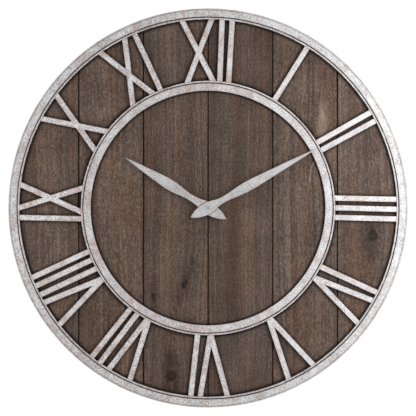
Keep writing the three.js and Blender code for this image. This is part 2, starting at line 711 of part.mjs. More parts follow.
/** The plate around the rotor. Its lower edge is the core of the coil. */
function stator() {
  const low = CORE_Y - CORE_W / 2;
  const [left, right] = [STATOR_LEFT + STATOR_ARM, STATOR_RIGHT - STATOR_ARM];
  return cut(
    block(STATOR_LEFT, STATOR_RIGHT, low, STATOR_TOP, ...STATOR_LEVEL),
    block(left, right, low + CORE_W, BRIDGE_LOW - 0.2, 0, DEPTH),
    rod(ROTOR_MAGNET_R + 0.5, 0, DEPTH, ...rotorArbor),
    pin(ARBOR_R + ARBOR_PLAY, 0, DEPTH, fifthArbor),
  );
}

const BOBBIN_R = 3;
const BOBBIN_T = 0.8; // thickness of the bobbin's end plates
const WIRE_R = 2.4;

/** The coil on its bobbin, lying around the core of the stator. */
function coil() {
  const middle = (STATOR_LEVEL[0] + STATOR_LEVEL[1]) / 2;
  const half = (STATOR_RIGHT - STATOR_LEFT) / 2 - STATOR_ARM - WELD_GAP;
  const profile = [
    [0, -half],
    [BOBBIN_R, -half],
    [BOBBIN_R, BOBBIN_T - half],
    [WIRE_R, BOBBIN_T - half],
    [WIRE_R, half - BOBBIN_T],
    [BOBBIN_R, half - BOBBIN_T],
    [BOBBIN_R, half],
    [0, half],
  ];
  const spool = spindle(profile, [(STATOR_LEFT + STATOR_RIGHT) / 2, CORE_Y, middle]);
  const [low, high] = [CORE_Y - CORE_W / 2 - WELD_GAP, CORE_Y + CORE_W / 2 + WELD_GAP];
  const tunnel = block(STATOR_LEFT, STATOR_RIGHT, low, high, ...wider(STATOR_LEVEL, WELD_GAP));
  return cut(spool, tunnel);
}

const BOARD_LEVEL = [3.2, 4.2];
const BOARD_LEFT = 6;
const BOARD_RIGHT = 25;
const BOARD_HIGH = -5.5;
const BOARD_GAP = 0.6; // above the wall of the battery's bay
const DROP_R = 3;
const DROP_H = 1;
const DROP_IN = 7; // from the board's left edge to the middle of the drop
const CAN_R = 1.5;
const CAN_H = 2.8;
const CAN_IN = 4; // from the board's right edge to the middle of the can

/** The board with the quartz driver under a round drop of resin, and the quartz's can. */
function circuitBoard() {
  const low = TRAIN_BOTTOM + BOARD_GAP;
  const [back, front] = BOARD_LEVEL;
  const board = block(BOARD_LEFT, BOARD_RIGHT, low, BOARD_HIGH, back, front);
  const middle = (low + BOARD_HIGH) / 2;
  const drop = rod(DROP_R, front - ROOT, front + DROP_H, BOARD_LEFT + DROP_IN, middle);
  const can = pin(CAN_R, front - ROOT, front + CAN_H, [BOARD_RIGHT - CAN_IN, middle]);
  return join(board, drop, can);
}

const power = assembly(movement);
add(power, "battery", battery(), batteryJacket);
add(power, "battery_contact_positive", positiveContact(), zincSteel);
add(power, "battery_contact_negative", negativeContact(), zincSteel);
add(power, "circuit_board", circuitBoard(), greenBoard);
add(power, "stator", stator(), iron);
add(power, "coil", coil(), copper);

// ---------------------------------------------------------------- train

const MINUTE_THREAD = 1.6; // the minute arbor's thread in front of its hand
const MINUTE_ARBOR_END = MINUTE_HAND_Z + HAND_T + MINUTE_THREAD;
const PIPE_LIP = 0.4; // the hour pipe in front of its hand
const HOUR_PIPE_END = HOUR_HAND_Z + HAND_T + PIPE_LIP;

/** An arbor between the cover and another plate, with a pivot at each end. */
function arbor(place, front) {
  return join(
    pin(PIVOT_R, COVER_FRONT - PIVOT_IN, front + PIVOT_IN, place),
    pin(ARBOR_R, COVER_FRONT + SHOULDER, front - SHOULDER, place),
  );
}

function rotor() {
  return join(
    arbor(rotorArbor, BRIDGE_LEVEL[0]),
    gear(LEAVES, ROTOR_MODULE, phases.rotorPinion, wider(FIFTH_LEVEL), rotorArbor),
    rod(ROTOR_MAGNET_R, ...wider(STATOR_LEVEL, 0.6), ...rotorArbor),
  );
}

function fifthWheel() {
  return join(
    arbor(fifthArbor, BRIDGE_LEVEL[0]),
    gear(FIFTH_WHEEL, ROTOR_MODULE, phases.fifthWheel, FIFTH_LEVEL, fifthArbor),
    gear(LEAVES, FIFTH_MODULE, phases.fifthPinion, wider(FOURTH_LEVEL), fifthArbor),
  );
}

/** The fourth wheel turns on the clock's axis, with its front pivot in the minute arbor. */
function fourthWheel() {
  return join(
    arbor(AXIS, MINUTE_ARBOR_BACK),
    gear(FOURTH_WHEEL, FIFTH_MODULE, phases.fourthWheel, FOURTH_LEVEL),
    gear(LEAVES, FOURTH_MODULE, phases.fourthPinion, wider(THIRD_LEVEL)),
  );
}

function thirdWheel() {
  return join(
    arbor(thirdArbor, CASE_FLOOR),
    gear(THIRD_WHEEL, FOURTH_MODULE, phases.thirdWheel, THIRD_LEVEL, thirdArbor),
    gear(LEAVES, THIRD_MODULE, phases.thirdPinion, wider(CENTRE_LEVEL, 0.1), thirdArbor),
  );
}

/** The minute arbor: it carries the centre wheel and cannon pinion, and the minute hand in front. */
function centreWheel() {
  const solidArbor = join(
    rod(MINUTE_ARBOR_R, MINUTE_ARBOR_BACK, MINUTE_ARBOR_END),
    gear(CENTRE_WHEEL, THIRD_MODULE, phases.centre, CENTRE_LEVEL),
    gear(CANNON, CANNON_MODULE, phases.cannon, wider(MOTION_LEVEL)),
  );
  return cut(solidArbor, pin(PIVOT_HOLE_R, 0, MINUTE_ARBOR_BACK + PIVOT_HOLE_DEPTH));
}

/** The motion-work wheel and pinion, which turn on the post of the case. */
function motionWheel() {
  const pinionLevel = [MOTION_LEVEL[1] - ROOT, wider(HOUR_LEVEL)[1]];
  const pair = join(
    gear(MOTION_WHEEL, CANNON_MODULE, phases.motionWheel, MOTION_LEVEL, motionPost),
    gear(MOTION_PINION, HOUR_MODULE, phases.motionPinion, pinionLevel, motionPost),
  );
  return cut(pair, pin(ARBOR_R + POST_PLAY, 0, DEPTH, motionPost));
}

/** The hour wheel and its pipe, which carries the hour hand. */
function hourWheel() {
  const pipe = rod(HOUR_PIPE_R, wider(HOUR_LEVEL)[0], HOUR_PIPE_END);
  const wheel = gear(HOUR_WHEEL, HOUR_MODULE, phases.hourWheel, HOUR_LEVEL);
  return cut(join(wheel, pipe), rod(HOUR_BORE_R, 0, HOUR_PIPE_END + 1));
}

/** The knob at the back that sets the hands, with its arbor and its pinion. */
function setKnob() {
  return join(
    rod(KNOB_R, KNOB_BACK, KNOB_FRONT, ...knobArbor),
    rod(KNOB_STEM_R, KNOB_FRONT - ROOT, CASE_FLOOR - SHOULDER, ...knobArbor),
    pin(PIVOT_R, CASE_FLOOR - 1, CASE_FLOOR + PIVOT_IN, knobArbor),
    gear(CANNON, CANNON_MODULE, phases.knobPinion, wider(MOTION_LEVEL), knobArbor),
  );
}

const train = assembly(movement);
add(train, "rotor", rotor(), iron);
add(train, "fifth_wheel", fifthWheel(), whitePlastic);
add(train, "fourth_wheel", fourthWheel(), whitePlastic);
add(train, "third_wheel", thirdWheel(), whitePlastic);
add(train, "centre_wheel", centreWheel(), brass);
add(train, "motion_wheel", motionWheel(), whitePlastic);
add(train, "hour_wheel", hourWheel(), brass);
add(train, "set_knob", setKnob(), blackPlastic);

// ---------------------------------------------------------------- hands

// Each hand's half width at stations along it, from the tip of its tail to its point.
const MINUTE_STATIONS = [
  [-38, 0], [-28, 6.1], [-16, 9.8], [-2, 11.5], [12, 9.2], [24, 6.4], [38, 5.9], [56, 7.4],
  [74, 9.1], [94, 9.6], [116, 8.6], [160, 5.8], [206, 2.8], [238, 0],
];
const HOUR_STATIONS = [
  [-41, 0], [-30, 6.2], [-18, 9.8], [-3, 11.8], [12, 9.6], [24, 6.8], [41, 5.8], [56, 7.2],
  [70, 9.2], [87, 10.1], [105, 9.1], [130, 6.6], [160, 3.4], [185.5, 0],
];
const HAND_STEPS = 40; // along each side
const HAND_PLAY = 0.05; // around the arbor or the pipe
const CAP_R = 2.8; // the closed nut in front of the minute hand
const CAP_H = 2.4;
const CAP_BACK = 0.1; // clear of the hand
const CAP_BORE_R = MINUTE_ARBOR_R + 0.3;
const CAP_BORE_DEPTH = MINUTE_THREAD + 0.2;

/** A hand that points to XII, cut from sheet: a smooth curve through its stations on each side. */
function hand(stations, arborR, z0) {
  const side = (sign) => {
    const edge = stations.map(([along, half]) => [sign * half, along]);
    return new THREE.SplineCurve(points(edge)).getPoints(HAND_STEPS);
  };
  const outline = [...side(1), ...side(-1).reverse().slice(1, -1)];
  return cut(plate(outline, z0, z0 + HAND_T), rod(arborR + HAND_PLAY, 0, z0 + HAND_T + 1));
}

/** The closed nut that holds the minute hand on its arbor. */
function handNut() {
  const z0 = MINUTE_HAND_Z + HAND_T;
  const profile = [
    [0, CAP_BORE_DEPTH],
    [CAP_BORE_R, CAP_BORE_DEPTH],
    [CAP_BORE_R, CAP_BACK],
    [CAP_R, CAP_BACK],
    [CAP_R, CAP_H / 2],
    [CAP_R * 0.68, CAP_H * 0.88],
    [0, CAP_H],
  ];
  const dome = new THREE.LatheGeometry(points(profile), 20);
  dome.rotateX(Math.PI / 2);
  dome.translate(0, 0, z0);
  return solid(dome);
}

const hands = assembly();
const hourSheet = hand(HOUR_STATIONS, HOUR_PIPE_R, HOUR_HAND_Z);
const minuteSheet = hand(MINUTE_STATIONS, MINUTE_ARBOR_R, MINUTE_HAND_Z);
const hourHand = add(hands, "hour_hand", hourSheet, whitewash);
const minuteHand = add(hands, "minute_hand", minuteSheet, whitewash);
hourHand.rotation.z = -THREE.MathUtils.degToRad(HOUR_HAND_ANGLE);
minuteHand.rotation.z = -THREE.MathUtils.degToRad(MINUTE_HAND_ANGLE);
add(hands, "hand_nut", handNut(), whitewash);

// ---------------------------------------------------------------- on the wall

clock.rotation.x = Math.PI / 2;
clock.position.z = -HANG_HEIGHT;

const part = new THREE.Group();
part.add(clock);

export default part;
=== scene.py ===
import json
import math

import bmesh
import bpy
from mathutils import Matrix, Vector


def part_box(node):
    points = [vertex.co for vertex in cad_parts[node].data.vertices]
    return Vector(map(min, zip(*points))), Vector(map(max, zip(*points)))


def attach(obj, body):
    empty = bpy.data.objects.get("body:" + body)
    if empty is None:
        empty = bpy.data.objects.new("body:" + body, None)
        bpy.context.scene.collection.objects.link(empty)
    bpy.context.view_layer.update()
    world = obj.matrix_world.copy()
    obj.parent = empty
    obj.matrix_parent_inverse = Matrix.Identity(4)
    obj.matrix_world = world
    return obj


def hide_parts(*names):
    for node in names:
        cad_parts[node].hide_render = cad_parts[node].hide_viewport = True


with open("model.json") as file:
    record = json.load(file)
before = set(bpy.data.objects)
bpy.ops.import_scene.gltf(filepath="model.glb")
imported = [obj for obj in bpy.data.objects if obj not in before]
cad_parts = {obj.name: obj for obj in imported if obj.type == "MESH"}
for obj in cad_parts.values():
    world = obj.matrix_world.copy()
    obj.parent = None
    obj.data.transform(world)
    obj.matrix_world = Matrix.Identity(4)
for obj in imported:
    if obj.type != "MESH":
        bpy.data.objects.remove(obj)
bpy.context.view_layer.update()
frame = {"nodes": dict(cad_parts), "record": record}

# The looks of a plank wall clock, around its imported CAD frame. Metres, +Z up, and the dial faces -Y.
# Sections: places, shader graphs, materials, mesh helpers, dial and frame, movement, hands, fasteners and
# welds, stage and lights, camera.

nodes = frame["nodes"]
record = frame["record"]
BODY_OF = {node: body for body, members in record["behaviour"]["bodies"].items() for node in members}
FIXED = "dial_and_case"
MM = 0.001

# ---------------------------------------------------------------- places, all from the frame


def middle_of(node):
    """The middle of a node's box."""
    low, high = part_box(node)
    return (low + high) / 2


def front_corners(node, depth):
    """A node's corners that lie within depth of its foremost one."""
    corners = [vertex.co for vertex in nodes[node].data.vertices]
    front = min(corner.y for corner in corners)
    return [corner for corner in corners if corner.y < front + depth]


def inner_radius(node):
    """The smallest distance from the clock's axis at which a node has a corner on its front face."""
    face = front_corners(node, 1.0 * MM)
    return min(math.hypot(corner.x - AXIS.x, corner.z - AXIS.z) for corner in face)


rim_low, rim_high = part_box("rim")
AXIS = middle_of("rim")  # middle of the clock
OUTER_R = (rim_high.x - rim_low.x) / 2
FRONT_Y = rim_low.y
plank_low, plank_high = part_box("plank_1")
DIAL_R = AXIS.x - plank_low.x
PLANK_FRONT_Y = plank_low.y
PLANK_BACK_Y = plank_high.y
batten_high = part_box("batten_upper")[1]
BATTEN_RIGHT = batten_high.x
BATTEN_BACK_Y = batten_high.y
hoop_low, hoop_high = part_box("inner_hoop")
RING_IN_R = inner_radius("inner_ring")
RING_OUT_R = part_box("inner_ring")[1].x - AXIS.x
NUMERAL_IN_R = (hoop_high.x - hoop_low.x) / 2  # outside of the inner hoop
NUMERAL_OUT_R = inner_radius("outer_hoop")
PLANKS = [f"plank_{i}" for i in range(1, 7)]
NUMERALS = sorted(name for name in nodes if name.startswith("numeral_"))
RINGS = ["rim", "outer_hoop", "inner_ring", "inner_hoop"]


def on_dial(right, up, y=0.0):
    """A place from the clock's middle, in metres to the right and up as the dial is read."""
    return Vector((AXIS.x + right, y, AXIS.z + up))


def polar(radius, turn, y=0.0):
    """A place at that radius, at an angle clockwise from XII."""
    return on_dial(radius * math.sin(turn), radius * math.cos(turn), y)


# ---------------------------------------------------------------- shader graphs


class Graph:
    """A material and its node tree. Most methods add one node and give back its output socket."""

    def __init__(self, name):
        self.material = bpy.data.materials.new(name)
        self.material.use_nodes = True
        self.tree = self.material.node_tree
        self.shader = self.tree.nodes["Principled BSDF"]
        self.place = self.add("ShaderNodeTexCoord").outputs["Object"]

    def add(self, kind, inputs=None, **settings):
        node = self.tree.nodes.new(kind)
        for setting, value in settings.items():
            setattr(node, setting, value)
        for socket, value in (inputs or {}).items():
            self.feed(node, socket, value)
        return node

    def feed(self, node, socket, value):
        """Links a node's input to a socket, or sets it to a number, a vector or three of a colour."""
        target = node.inputs[socket]
        if isinstance(value, bpy.types.NodeSocket):
            self.tree.links.new(value, target)
        elif target.type == "RGBA":
            target.default_value = (*value, 1.0)
        else:
            target.default_value = value

    def math(self, operation, first, second=0.0):
        return self.add("ShaderNodeMath", {0: first, 1: second}, operation=operation).outputs[0]

    def times(self, first, *others):
        """The product of two or more values."""
        for other in others:
            first = self.math("MULTIPLY", first, other)
        return first

    def weigh(self, *shares, start=0.0):
        """start plus each value of the (value, share) pairs times its share."""
        for value, share in shares:
            start = self.math("ADD", start, self.times(value, share))
        return start

    def vector(self, operation, first, second):
        inputs = {0: first, 1: second}
        return self.add("ShaderNodeVectorMath", inputs, operation=operation).outputs["Vector"]

    def length(self, vector):
        return self.add("ShaderNodeVectorMath", {0: vector}, operation="LENGTH").outputs["Value"]

    def split(self, vector):
        return self.add("ShaderNodeSeparateXYZ", {"Vector": vector}).outputs

    def join(self, x, y, z):
        return self.add("ShaderNodeCombineXYZ", {"X": x, "Y": y, "Z": z}).outputs["Vector"]

    def noise(self, vector, scale, detail=3.0, roughness=0.55):
        inputs = {"Vector": vector, "Scale": scale, "Detail": detail, "Roughness": roughness}
        return self.add("ShaderNodeTexNoise", inputs).outputs["Fac"]

    def steps(self, value, low, high, to_low=0.0, to_high=1.0):
        """value's range low to high, stretched and clamped to to_low to to_high, without corners."""
        inputs = {"Value": value, 1: low, 2: high, 3: to_low, 4: to_high}
        return self.add("ShaderNodeMapRange", inputs, interpolation_type="SMOOTHSTEP").outputs[0]

    def ramp(self, value, *stops):
        """The colour at value on a ramp of (place, colour) stops."""
        node = self.add("ShaderNodeValToRGB", {"Fac": value})
        elements = node.color_ramp.elements
        while len(elements) < len(stops):
            elements.new(0.5)
        for element, (place, colour) in zip(elements, stops):
            element.position = place
            element.color = (*colour, 1.0)
        return node.outputs["Color"]

    def mix(self, share, first, second, blend="MIX"):
        """Two colours, mixed. A colour is a socket or three numbers."""
        inputs = {0: share, 6: first, 7: second}
        return self.add("ShaderNodeMix", inputs, data_type="RGBA", blend_type=blend).outputs[2]

    def finish(self, colour, roughness, metallic, height, relief, specular=0.5):
        """Feeds the shader. The surface rises by relief, in metres, where height goes from 0 to 1."""
        bump = self.add("ShaderNodeBump", {"Height": height, "Strength": 1.0, "Distance": relief})
        inputs = {
            "Base Color": colour,
            "Roughness": roughness,
            "Metallic": metallic,
            "Specular IOR Level": specular,
            "Normal": bump.outputs["Normal"],
        }
        for socket, value in inputs.items():
            self.feed(self.shader, socket, value)
        return self.material


# ---------------------------------------------------------------- materials

# A noise's scale is in features per metre. Its values lie mostly between 0.3 and 0.7, and so do the
# limits of steps and the places on ramps that sort them. A seed shifts the noise, so that no two
# pieces are worn or grained alike. Colours are linear.

METAL_SHARE = 0.25  # how far the thin paint looks like the steel under it
ROLL_IN = 2.8 * MM  # from the rim's outer edge to the line where its face starts to roll over
PAINT_GREY = (0.20, 0.19, 0.205)
PAINT_WHITE = (0.94, 0.94, 0.94)
PRIMER = (0.48, 0.335, 0.285)
# painted shade: the brown grey that gaps, corners and the rim's roll line are darkened towards
SHADE_BROWN = (0.17, 0.125, 0.11)
BARE_STEEL = (0.26, 0.170, 0.140)  # browned where the paint has gone from the edges


def whitewash(name, seed, lightness=1.0, rust=0.80, bare_edges=0.72):
    """White paint rubbed thin over steel: grey specks all over, and a rusty primer towards the edges,
    with painted shade in gaps, corners and along the rim's roll, and painted glare that fades the specks
    and primer towards the right.
    """
    g = Graph(name)
    place = g.vector("ADD", g.place, (seed, 0.37 * seed, 0.71 * seed))
    cloud = g.noise(place, 27, 3, 0.6)
    blotch = g.noise(place, 75, 3, 0.6)
    speck = g.noise(place, 640, 2, 0.6)
    fleck = g.noise(g.vector("ADD", place, (5, 5, 5)), 560, 2, 0.6)
    paint = g.ramp(
        cloud,
        (0.35, (0.565, 0.560, 0.575)),
        (0.50, (0.715, 0.707, 0.718)),
        (0.65, (0.805, 0.802, 0.810)),
    )
    right = g.split(g.place)["X"]  # painted glare: the specks and primer fade towards the right of the clock, where the key light washes the paint out
    clear_of_glare = g.steps(right, AXIS.x - 0.3 * OUTER_R, AXIS.x + 0.9 * OUTER_R, 1.0, 0.45)
    grey = g.times(g.steps(speck, 0.475, 0.64), g.steps(blotch, 0.30, 0.60, 0.66, 1.0))
    colour = g.mix(g.times(grey, g.weigh((clear_of_glare, 0.6), start=0.4)), paint, PAINT_GREY)
    colour = g.mix(g.steps(speck, 0.48, 0.35, 0.0, 0.90), colour, PAINT_WHITE)
    rubbed = g.times(g.steps(blotch, 0.42, 0.66), g.steps(cloud, 0.62, 0.42, 0.30, 1.0))
    margin = g.times(edge_wear(g, 5.0 * MM), g.steps(cloud, 0.66, 0.40, 0.50, 1.0))
    primer = g.times(g.math("MAXIMUM", rubbed, margin), g.steps(fleck, 0.34, 0.60, 0.25, 1.0))
    colour = g.mix(g.times(primer, g.times(clear_of_glare, rust)), colour, PRIMER)
    # painted shade in gaps and corners, and along the line where the rim's face rolls over
    painted_shade = g.math("MAXIMUM", gap_shade(g, 6.0 * MM), rolled_edge_shade(g))
    colour = g.mix(g.times(painted_shade, 0.60), colour, SHADE_BROWN)
    colour = g.mix(g.times(edge_wear(g, 2.2 * MM), bare_edges), colour, BARE_STEEL)
    colour = g.mix(1.0, colour, (lightness,) * 3, "MULTIPLY")
    height = g.weigh((blotch, 0.4), (speck, 0.6))
    return g.finish(colour, g.steps(blotch, 0.3, 0.7, 0.42, 0.58), METAL_SHARE, height, 0.2 * MM)


def facing_front(g):
    """1 where the surface faces straight to the front or the back, 0 on the sides."""
    normal = g.add("ShaderNodeNewGeometry").outputs["Normal"]
    settings = {"vector_type": "NORMAL", "convert_to": "OBJECT"}
    turned = g.add("ShaderNodeVectorTransform", {"Vector": normal}, **settings)
    return g.math("ABSOLUTE", g.split(turned.outputs["Vector"])["Y"])


def from_axis(g):
    """How far a place is from the clock's axis, seen from the front."""
    x, _, z = g.split(g.vector("SUBTRACT", g.place, on_dial(0, 0)))
    return g.length(g.join(x, 0.0, z))


def gap_shade(g, reach, wide_open=1.0, closed=0.45):
    """Painted shade: 1 in gaps and corners narrower than reach, where ambient occlusion finds the surface
    shut in, 0 in the open.
    """
    open_air = g.add("ShaderNodeAmbientOcclusion", {"Distance": reach}, samples=8)
    return g.steps(open_air.outputs["AO"], wide_open, closed)


def rolled_edge_shade(g):
    """Painted shade: 1 along the fine line where the rim's face starts to roll over to its side and turns
    away from the light, and 0 elsewhere.
    """
    off_line = g.math("ABSOLUTE", g.math("SUBTRACT", from_axis(g), OUTER_R - ROLL_IN))
    return g.steps(off_line, 1.3 * MM, 0.3 * MM)


def edge_wear(g, reach):
    """1 where the surface turns a corner within reach, broken up by noise, and 0 on flat faces."""
    rounded = g.add("ShaderNodeBevel", {"Radius": reach}, samples=6).outputs["Normal"]
    flat = g.add("ShaderNodeNewGeometry").outputs["Normal"]
    agreement = g.add("ShaderNodeVectorMath", {0: rounded, 1: flat}, operation="DOT_PRODUCT")
    corner = g.steps(agreement.outputs["Value"], 0.995, 0.90)
    return g.times(corner, g.steps(g.noise(g.place, 260, 3), 0.30, 0.60, 0.35, 1.0))


# Marks in the planks, placed from the clock's middle in shares of the dial's radius.
# Knots are (right, up, radius, height over width, lean, halo). Patches, where the stain was rubbed
# thin or lies thick, are (right, up, half width, half height, strength, colour). An arch of grain is
# (right, up).
KNOTS = {
    "plank_3": [
        (-0.189, -0.865, 0.031, 1.1, 0.0, 0.50),
        (-0.283, -0.453, 0.011, 1.9, 0.0, 0.40),
        (-0.119, -0.391, 0.018, 1.7, 0.35, 0.38),
    ],
    "plank_6": [(0.850, -0.142, 0.031, 1.15, 0.10, 0.42)],
}
THIN_STAIN = (0.34, 0.265, 0.195)
THICK_STAIN = (0.030, 0.020, 0.015)
PATCHES = {
    "plank_3": [
        (-0.21, -0.50, 0.03, 0.10, 0.25, THIN_STAIN),
        (-0.198, -0.775, 0.038, 0.085, 0.70, THICK_STAIN),
    ],
    "plank_5": [
        (0.590, 0.445, 0.050, 0.150, 0.75, THIN_STAIN),
        (0.560, 0.66, 0.02, 0.13, 0.35, THIN_STAIN),
    ],
}
ARCHES = {"plank_5": (0.548, 0.235)}
# How light each plank took the stain.
STAIN = {
    "plank_1": 1.17,
    "plank_2": 1.18,
    "plank_3": 0.99,
    "plank_4": 1.00,
    "plank_5": 1.16,
    "plank_6": 1.24,
}
STRIP_STAND_OFF = PLANK_FRONT_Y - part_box("numeral_I_bar_1")[1].y  # between a strip and the planks
FRAME_SHADE_REACH = 5.5 * MM  # painted shade darkens the planks this far in from the frame's edges
GROWTH_LINE = (0.36, 0.255, 0.185)
PORE = (0.036, 0.024, 0.018)
KNOT = (0.014, 0.010, 0.009)
# the brown black of painted shade on the planks and of their dark seams
SHADE_AND_JOINT_BROWN = (0.012, 0.008, 0.006)


def stained_wood(node, seed):
    """Planed fir under a grey-brown stain: upright grain, warm and grey bands, dark pores, knots, and
    painted shade at the frame, around the strips and on the seams' left edges.
    """
    g = Graph(f"stained_{node}")
    _, y, z = g.split(g.place)
    across, knot_shade = grain_around_knots(g, node, seed)

    def streaks(wide, tall, detail, offset):
        """Noise drawn out along the grain, with that many features per metre across it and along it."""
        place = g.join(g.times(across, wide), seed + offset, g.times(z, tall))
        return g.noise(place, 1.0, detail, 0.6)

    warmth = g.weigh((streaks(48, 2.4, 3, 0.0), 0.65), (streaks(16, 9, 2, 4.4), 0.35))
    band = streaks(22, 1.8, 3, 1.7)
    grain = streaks(230, 2.2, 3, 3.1)
    fibre = streaks(620, 45.0, 2, 5.7)
    tooth = streaks(430, 230.0, 2, 9.2)
    pore = streaks(620, 60.0, 2, 8.3)
    hair = streaks(1700, 70.0, 2, 11.9)
    cloud = g.noise(g.vector("ADD", g.place, (seed, seed, 0)), 14.0, 3)
    shares = ((band, 0.32), (grain, 0.34), (fibre, 0.20), (tooth, 0.55), (hair, 0.08), (cloud, 0.20))
    tone = g.weigh(*shares, start=0.5 * (1 - sum(share for _, share in shares)))  # 0.5 on average
    wood = stain_colour(g, node, tone, warmth)
    wood = g.mix(g.steps(pore, 0.54, 0.70, 0.0, 0.60), wood, PORE)
    wood = g.mix(g.times(knot_shade, 0.94), wood, KNOT)
    wood = g.mix(1.0, wood, (STAIN[node],) * 3, "MULTIPLY")
    bare = bare_fir(g, g.weigh((band, 0.40), (grain, 0.40), (fibre, 0.20)))
    wood = g.mix(g.steps(y, PLANK_BACK_Y - 3.0 * MM, PLANK_BACK_Y - 0.5 * MM, 0.0, 0.85), wood, bare)
    # painted shadow on the planks under, around and between the numeral strips
    strip_shade = gap_shade(g, 1.8 * STRIP_STAND_OFF, closed=0.58)
    for shade, strength in ((shade_at_frame(g), 0.88), (strip_shade, 0.92), (seamed(g, node), 0.92)):
        wood = g.mix(g.times(shade, strength), wood, SHADE_AND_JOINT_BROWN)
    height = g.weigh((fibre, 0.7), (hair, 0.3))
    return g.finish(wood, g.steps(fibre, 0.3, 0.7, 0.52, 0.72), 0.0, height, 0.5 * MM, 0.12)


def grain_around_knots(g, node, seed):
    """Where a place lies across the grain, which sways and bends around knots, and how dark they are."""
    x, _, z = g.split(g.place)
    sway = g.noise(g.join(g.times(x, 3.0), seed, g.times(z, 1.6)), 1.0, 2)
    across = g.weigh((g.math("SUBTRACT", sway, 0.5), 0.05), start=x)
    darkness = 0.0
    for knot in KNOTS.get(node, []):
        shade, pull = knot_at(g, *knot)
        darkness = g.math("MAXIMUM", darkness, shade)
        across = g.math("SUBTRACT", across, pull)
    return across, darkness


def stain_colour(g, node, tone, warmth):
    """The stain's grey and brown bands, with a plank's patches and its arch of grain."""
    grey = g.ramp(
        tone,
        (0.35, (0.046, 0.034, 0.029)),
        (0.50, (0.096, 0.071, 0.059)),
        (0.65, (0.188, 0.143, 0.119)),
    )
    brown = g.ramp(
        tone,
        (0.35, (0.052, 0.030, 0.021)),
        (0.50, (0.110, 0.067, 0.048)),
        (0.65, (0.192, 0.126, 0.093)),
    )
    wood = g.mix(g.steps(warmth, 0.40, 0.62, 0.10, 1.0), grey, brown)
    for *patch, colour in PATCHES.get(node, []):
        rubbed = g.times(patch_at(g, *patch), g.steps(tone, 0.36, 0.60, 0.35, 1.0))
        wood = g.mix(rubbed, wood, colour)
    if node in ARCHES:
        wood = g.mix(arch_at(g, *ARCHES[node]), wood, GROWTH_LINE)
    return wood


def bare_fir(g, tone):
    """Planed fir without stain, as on the backs of the planks."""
    return g.ramp(
        tone,
        (0.36, (0.24, 0.150, 0.088)),
        (0.50, (0.36, 0.240, 0.145)),
        (0.64, (0.47, 0.335, 0.210)),
    )


def from_mark(g, right, up, height_over_width=1.0, lean=0.0):
    """How far a place is from a mark, sideways and in all, with the mark squashed to a round one."""
    x, _, z = g.split(g.vector("SUBTRACT", g.place, on_dial(right * DIAL_R, up * DIAL_R)))
    sideways = g.math("SUBTRACT", x, g.times(z, lean))
    return sideways, g.length(g.join(sideways, 0.0, g.math("DIVIDE", z, height_over_width)))


def knot_at(g, right, up, size, height_over_width, lean, halo):
    """A knot's darkness, 0 to 1, and how far sideways it pulls the grain around it, in metres."""
    radius = size * DIAL_R
    sideways, reach = from_mark(g, right, up, height_over_width, lean)
    _, tall_reach = from_mark(g, right, up, 2.6 * height_over_width, lean)
    wobble = g.times(g.math("SUBTRACT", g.noise(g.place, 110, 3), 0.5), 1.1 * radius)
    core = g.steps(g.math("ADD", reach, wobble), 1.35 * radius, 0.55 * radius)
    core = g.times(core, g.steps(reach, 0.15 * radius, 0.70 * radius, 0.86, 1.0))
    smear = g.steps(g.math("ADD", tall_reach, wobble), 2.4 * radius, 0.7 * radius, 0.0, halo)
    pull = g.times(sideways, 0.75, g.steps(tall_reach, 3.6 * radius, 0.3 * radius))
    return g.math("MAXIMUM", core, smear), pull


def patch_at(g, right, up, half_width, half_height, strength):
    """strength in the middle of a patch, fading out to its half width and height."""
    _, reach = from_mark(g, right, up, half_height / half_width)
    width = half_width * DIAL_R
    ragged = g.weigh((g.noise(g.place, 60, 3), 0.4 * width), start=reach)
    return g.steps(ragged, 1.2 * width, 0.2 * width, 0.0, strength)


def arch_at(g, right, up):
    """A thin pale growth line that runs up one side of the grain, over a narrow arch and down again."""
    x, _, z = g.split(g.vector("SUBTRACT", g.place, on_dial(right * DIAL_R, up * DIAL_R)))
    opening = 2.4 * MM  # half the arch's width, squared, over how far below its top that is
    rise = g.math("ADD", z, g.math("DIVIDE", g.times(x, x), opening))
    slope = g.math("DIVIDE", g.times(x, 2.0), opening)
    off_line = g.math("ABSOLUTE", g.math("DIVIDE", rise, g.length(g.join(1.0, slope, 0.0))))
    fade = g.steps(z, -75 * MM, -25 * MM, 0.0, 0.55)
    return g.times(g.steps(off_line, 1.4 * MM, 0.4 * MM), fade)


def seamed(g, node):
    """1 on a plank's sawn sides; painted shade on its left edge, which faces away from the key light, and
    less on its right edge, which faces it; both broken up along the seam; 0 on its face.
    """
    low, high = front_face(node)
    x, _, z = g.split(g.place)
    seed = 40 * low.x
    wear = g.steps(g.noise(g.join(x, seed, z), 28.0, 3), 0.35, 0.65, 0.35, 1.0)
    # painted shade on the left edge, away from the key light, and a lighter shade on the lit right edge
    left = g.steps(x, low.x + 0.5 * MM, low.x - 0.3 * MM)
    right = g.steps(x, high.x, high.x + 1.0 * MM, 0.0, 0.35)
    sawn = g.steps(facing_front(g), 0.60, 0.30)
    return g.math("MAXIMUM", sawn, g.times(g.math("MAXIMUM", left, right), wear))


def front_face(node):
    """The lowest and highest corners of a node's front face."""
    face = front_corners(node, 0.05 * MM)
    low = Vector(min(corner[axis] for corner in face) for axis in range(3))
    high = Vector(max(corner[axis] for corner in face) for axis in range(3))
    return low, high


def shade_at_frame(g):
    """Painted shade: 1 on the planks' fronts at the outer hoop and the inner ring, whose shadows fall
    there, 0 elsewhere.
    """
    reach = from_axis(g)
    outer = g.steps(reach, NUMERAL_OUT_R - FRAME_SHADE_REACH, NUMERAL_OUT_R)
    middle = (RING_IN_R + NUMERAL_IN_R) / 2
    half = (NUMERAL_IN_R - RING_IN_R) / 2
    off_ring = g.math("ABSOLUTE", g.math("SUBTRACT", reach, middle))
    inner = g.steps(off_ring, half + FRAME_SHADE_REACH, half)
    front = g.steps(g.split(g.place)["Y"], PLANK_FRONT_Y + 4 * MM, PLANK_FRONT_Y + 2 * MM)
    return g.times(g.math("MAXIMUM", outer, inner), front)


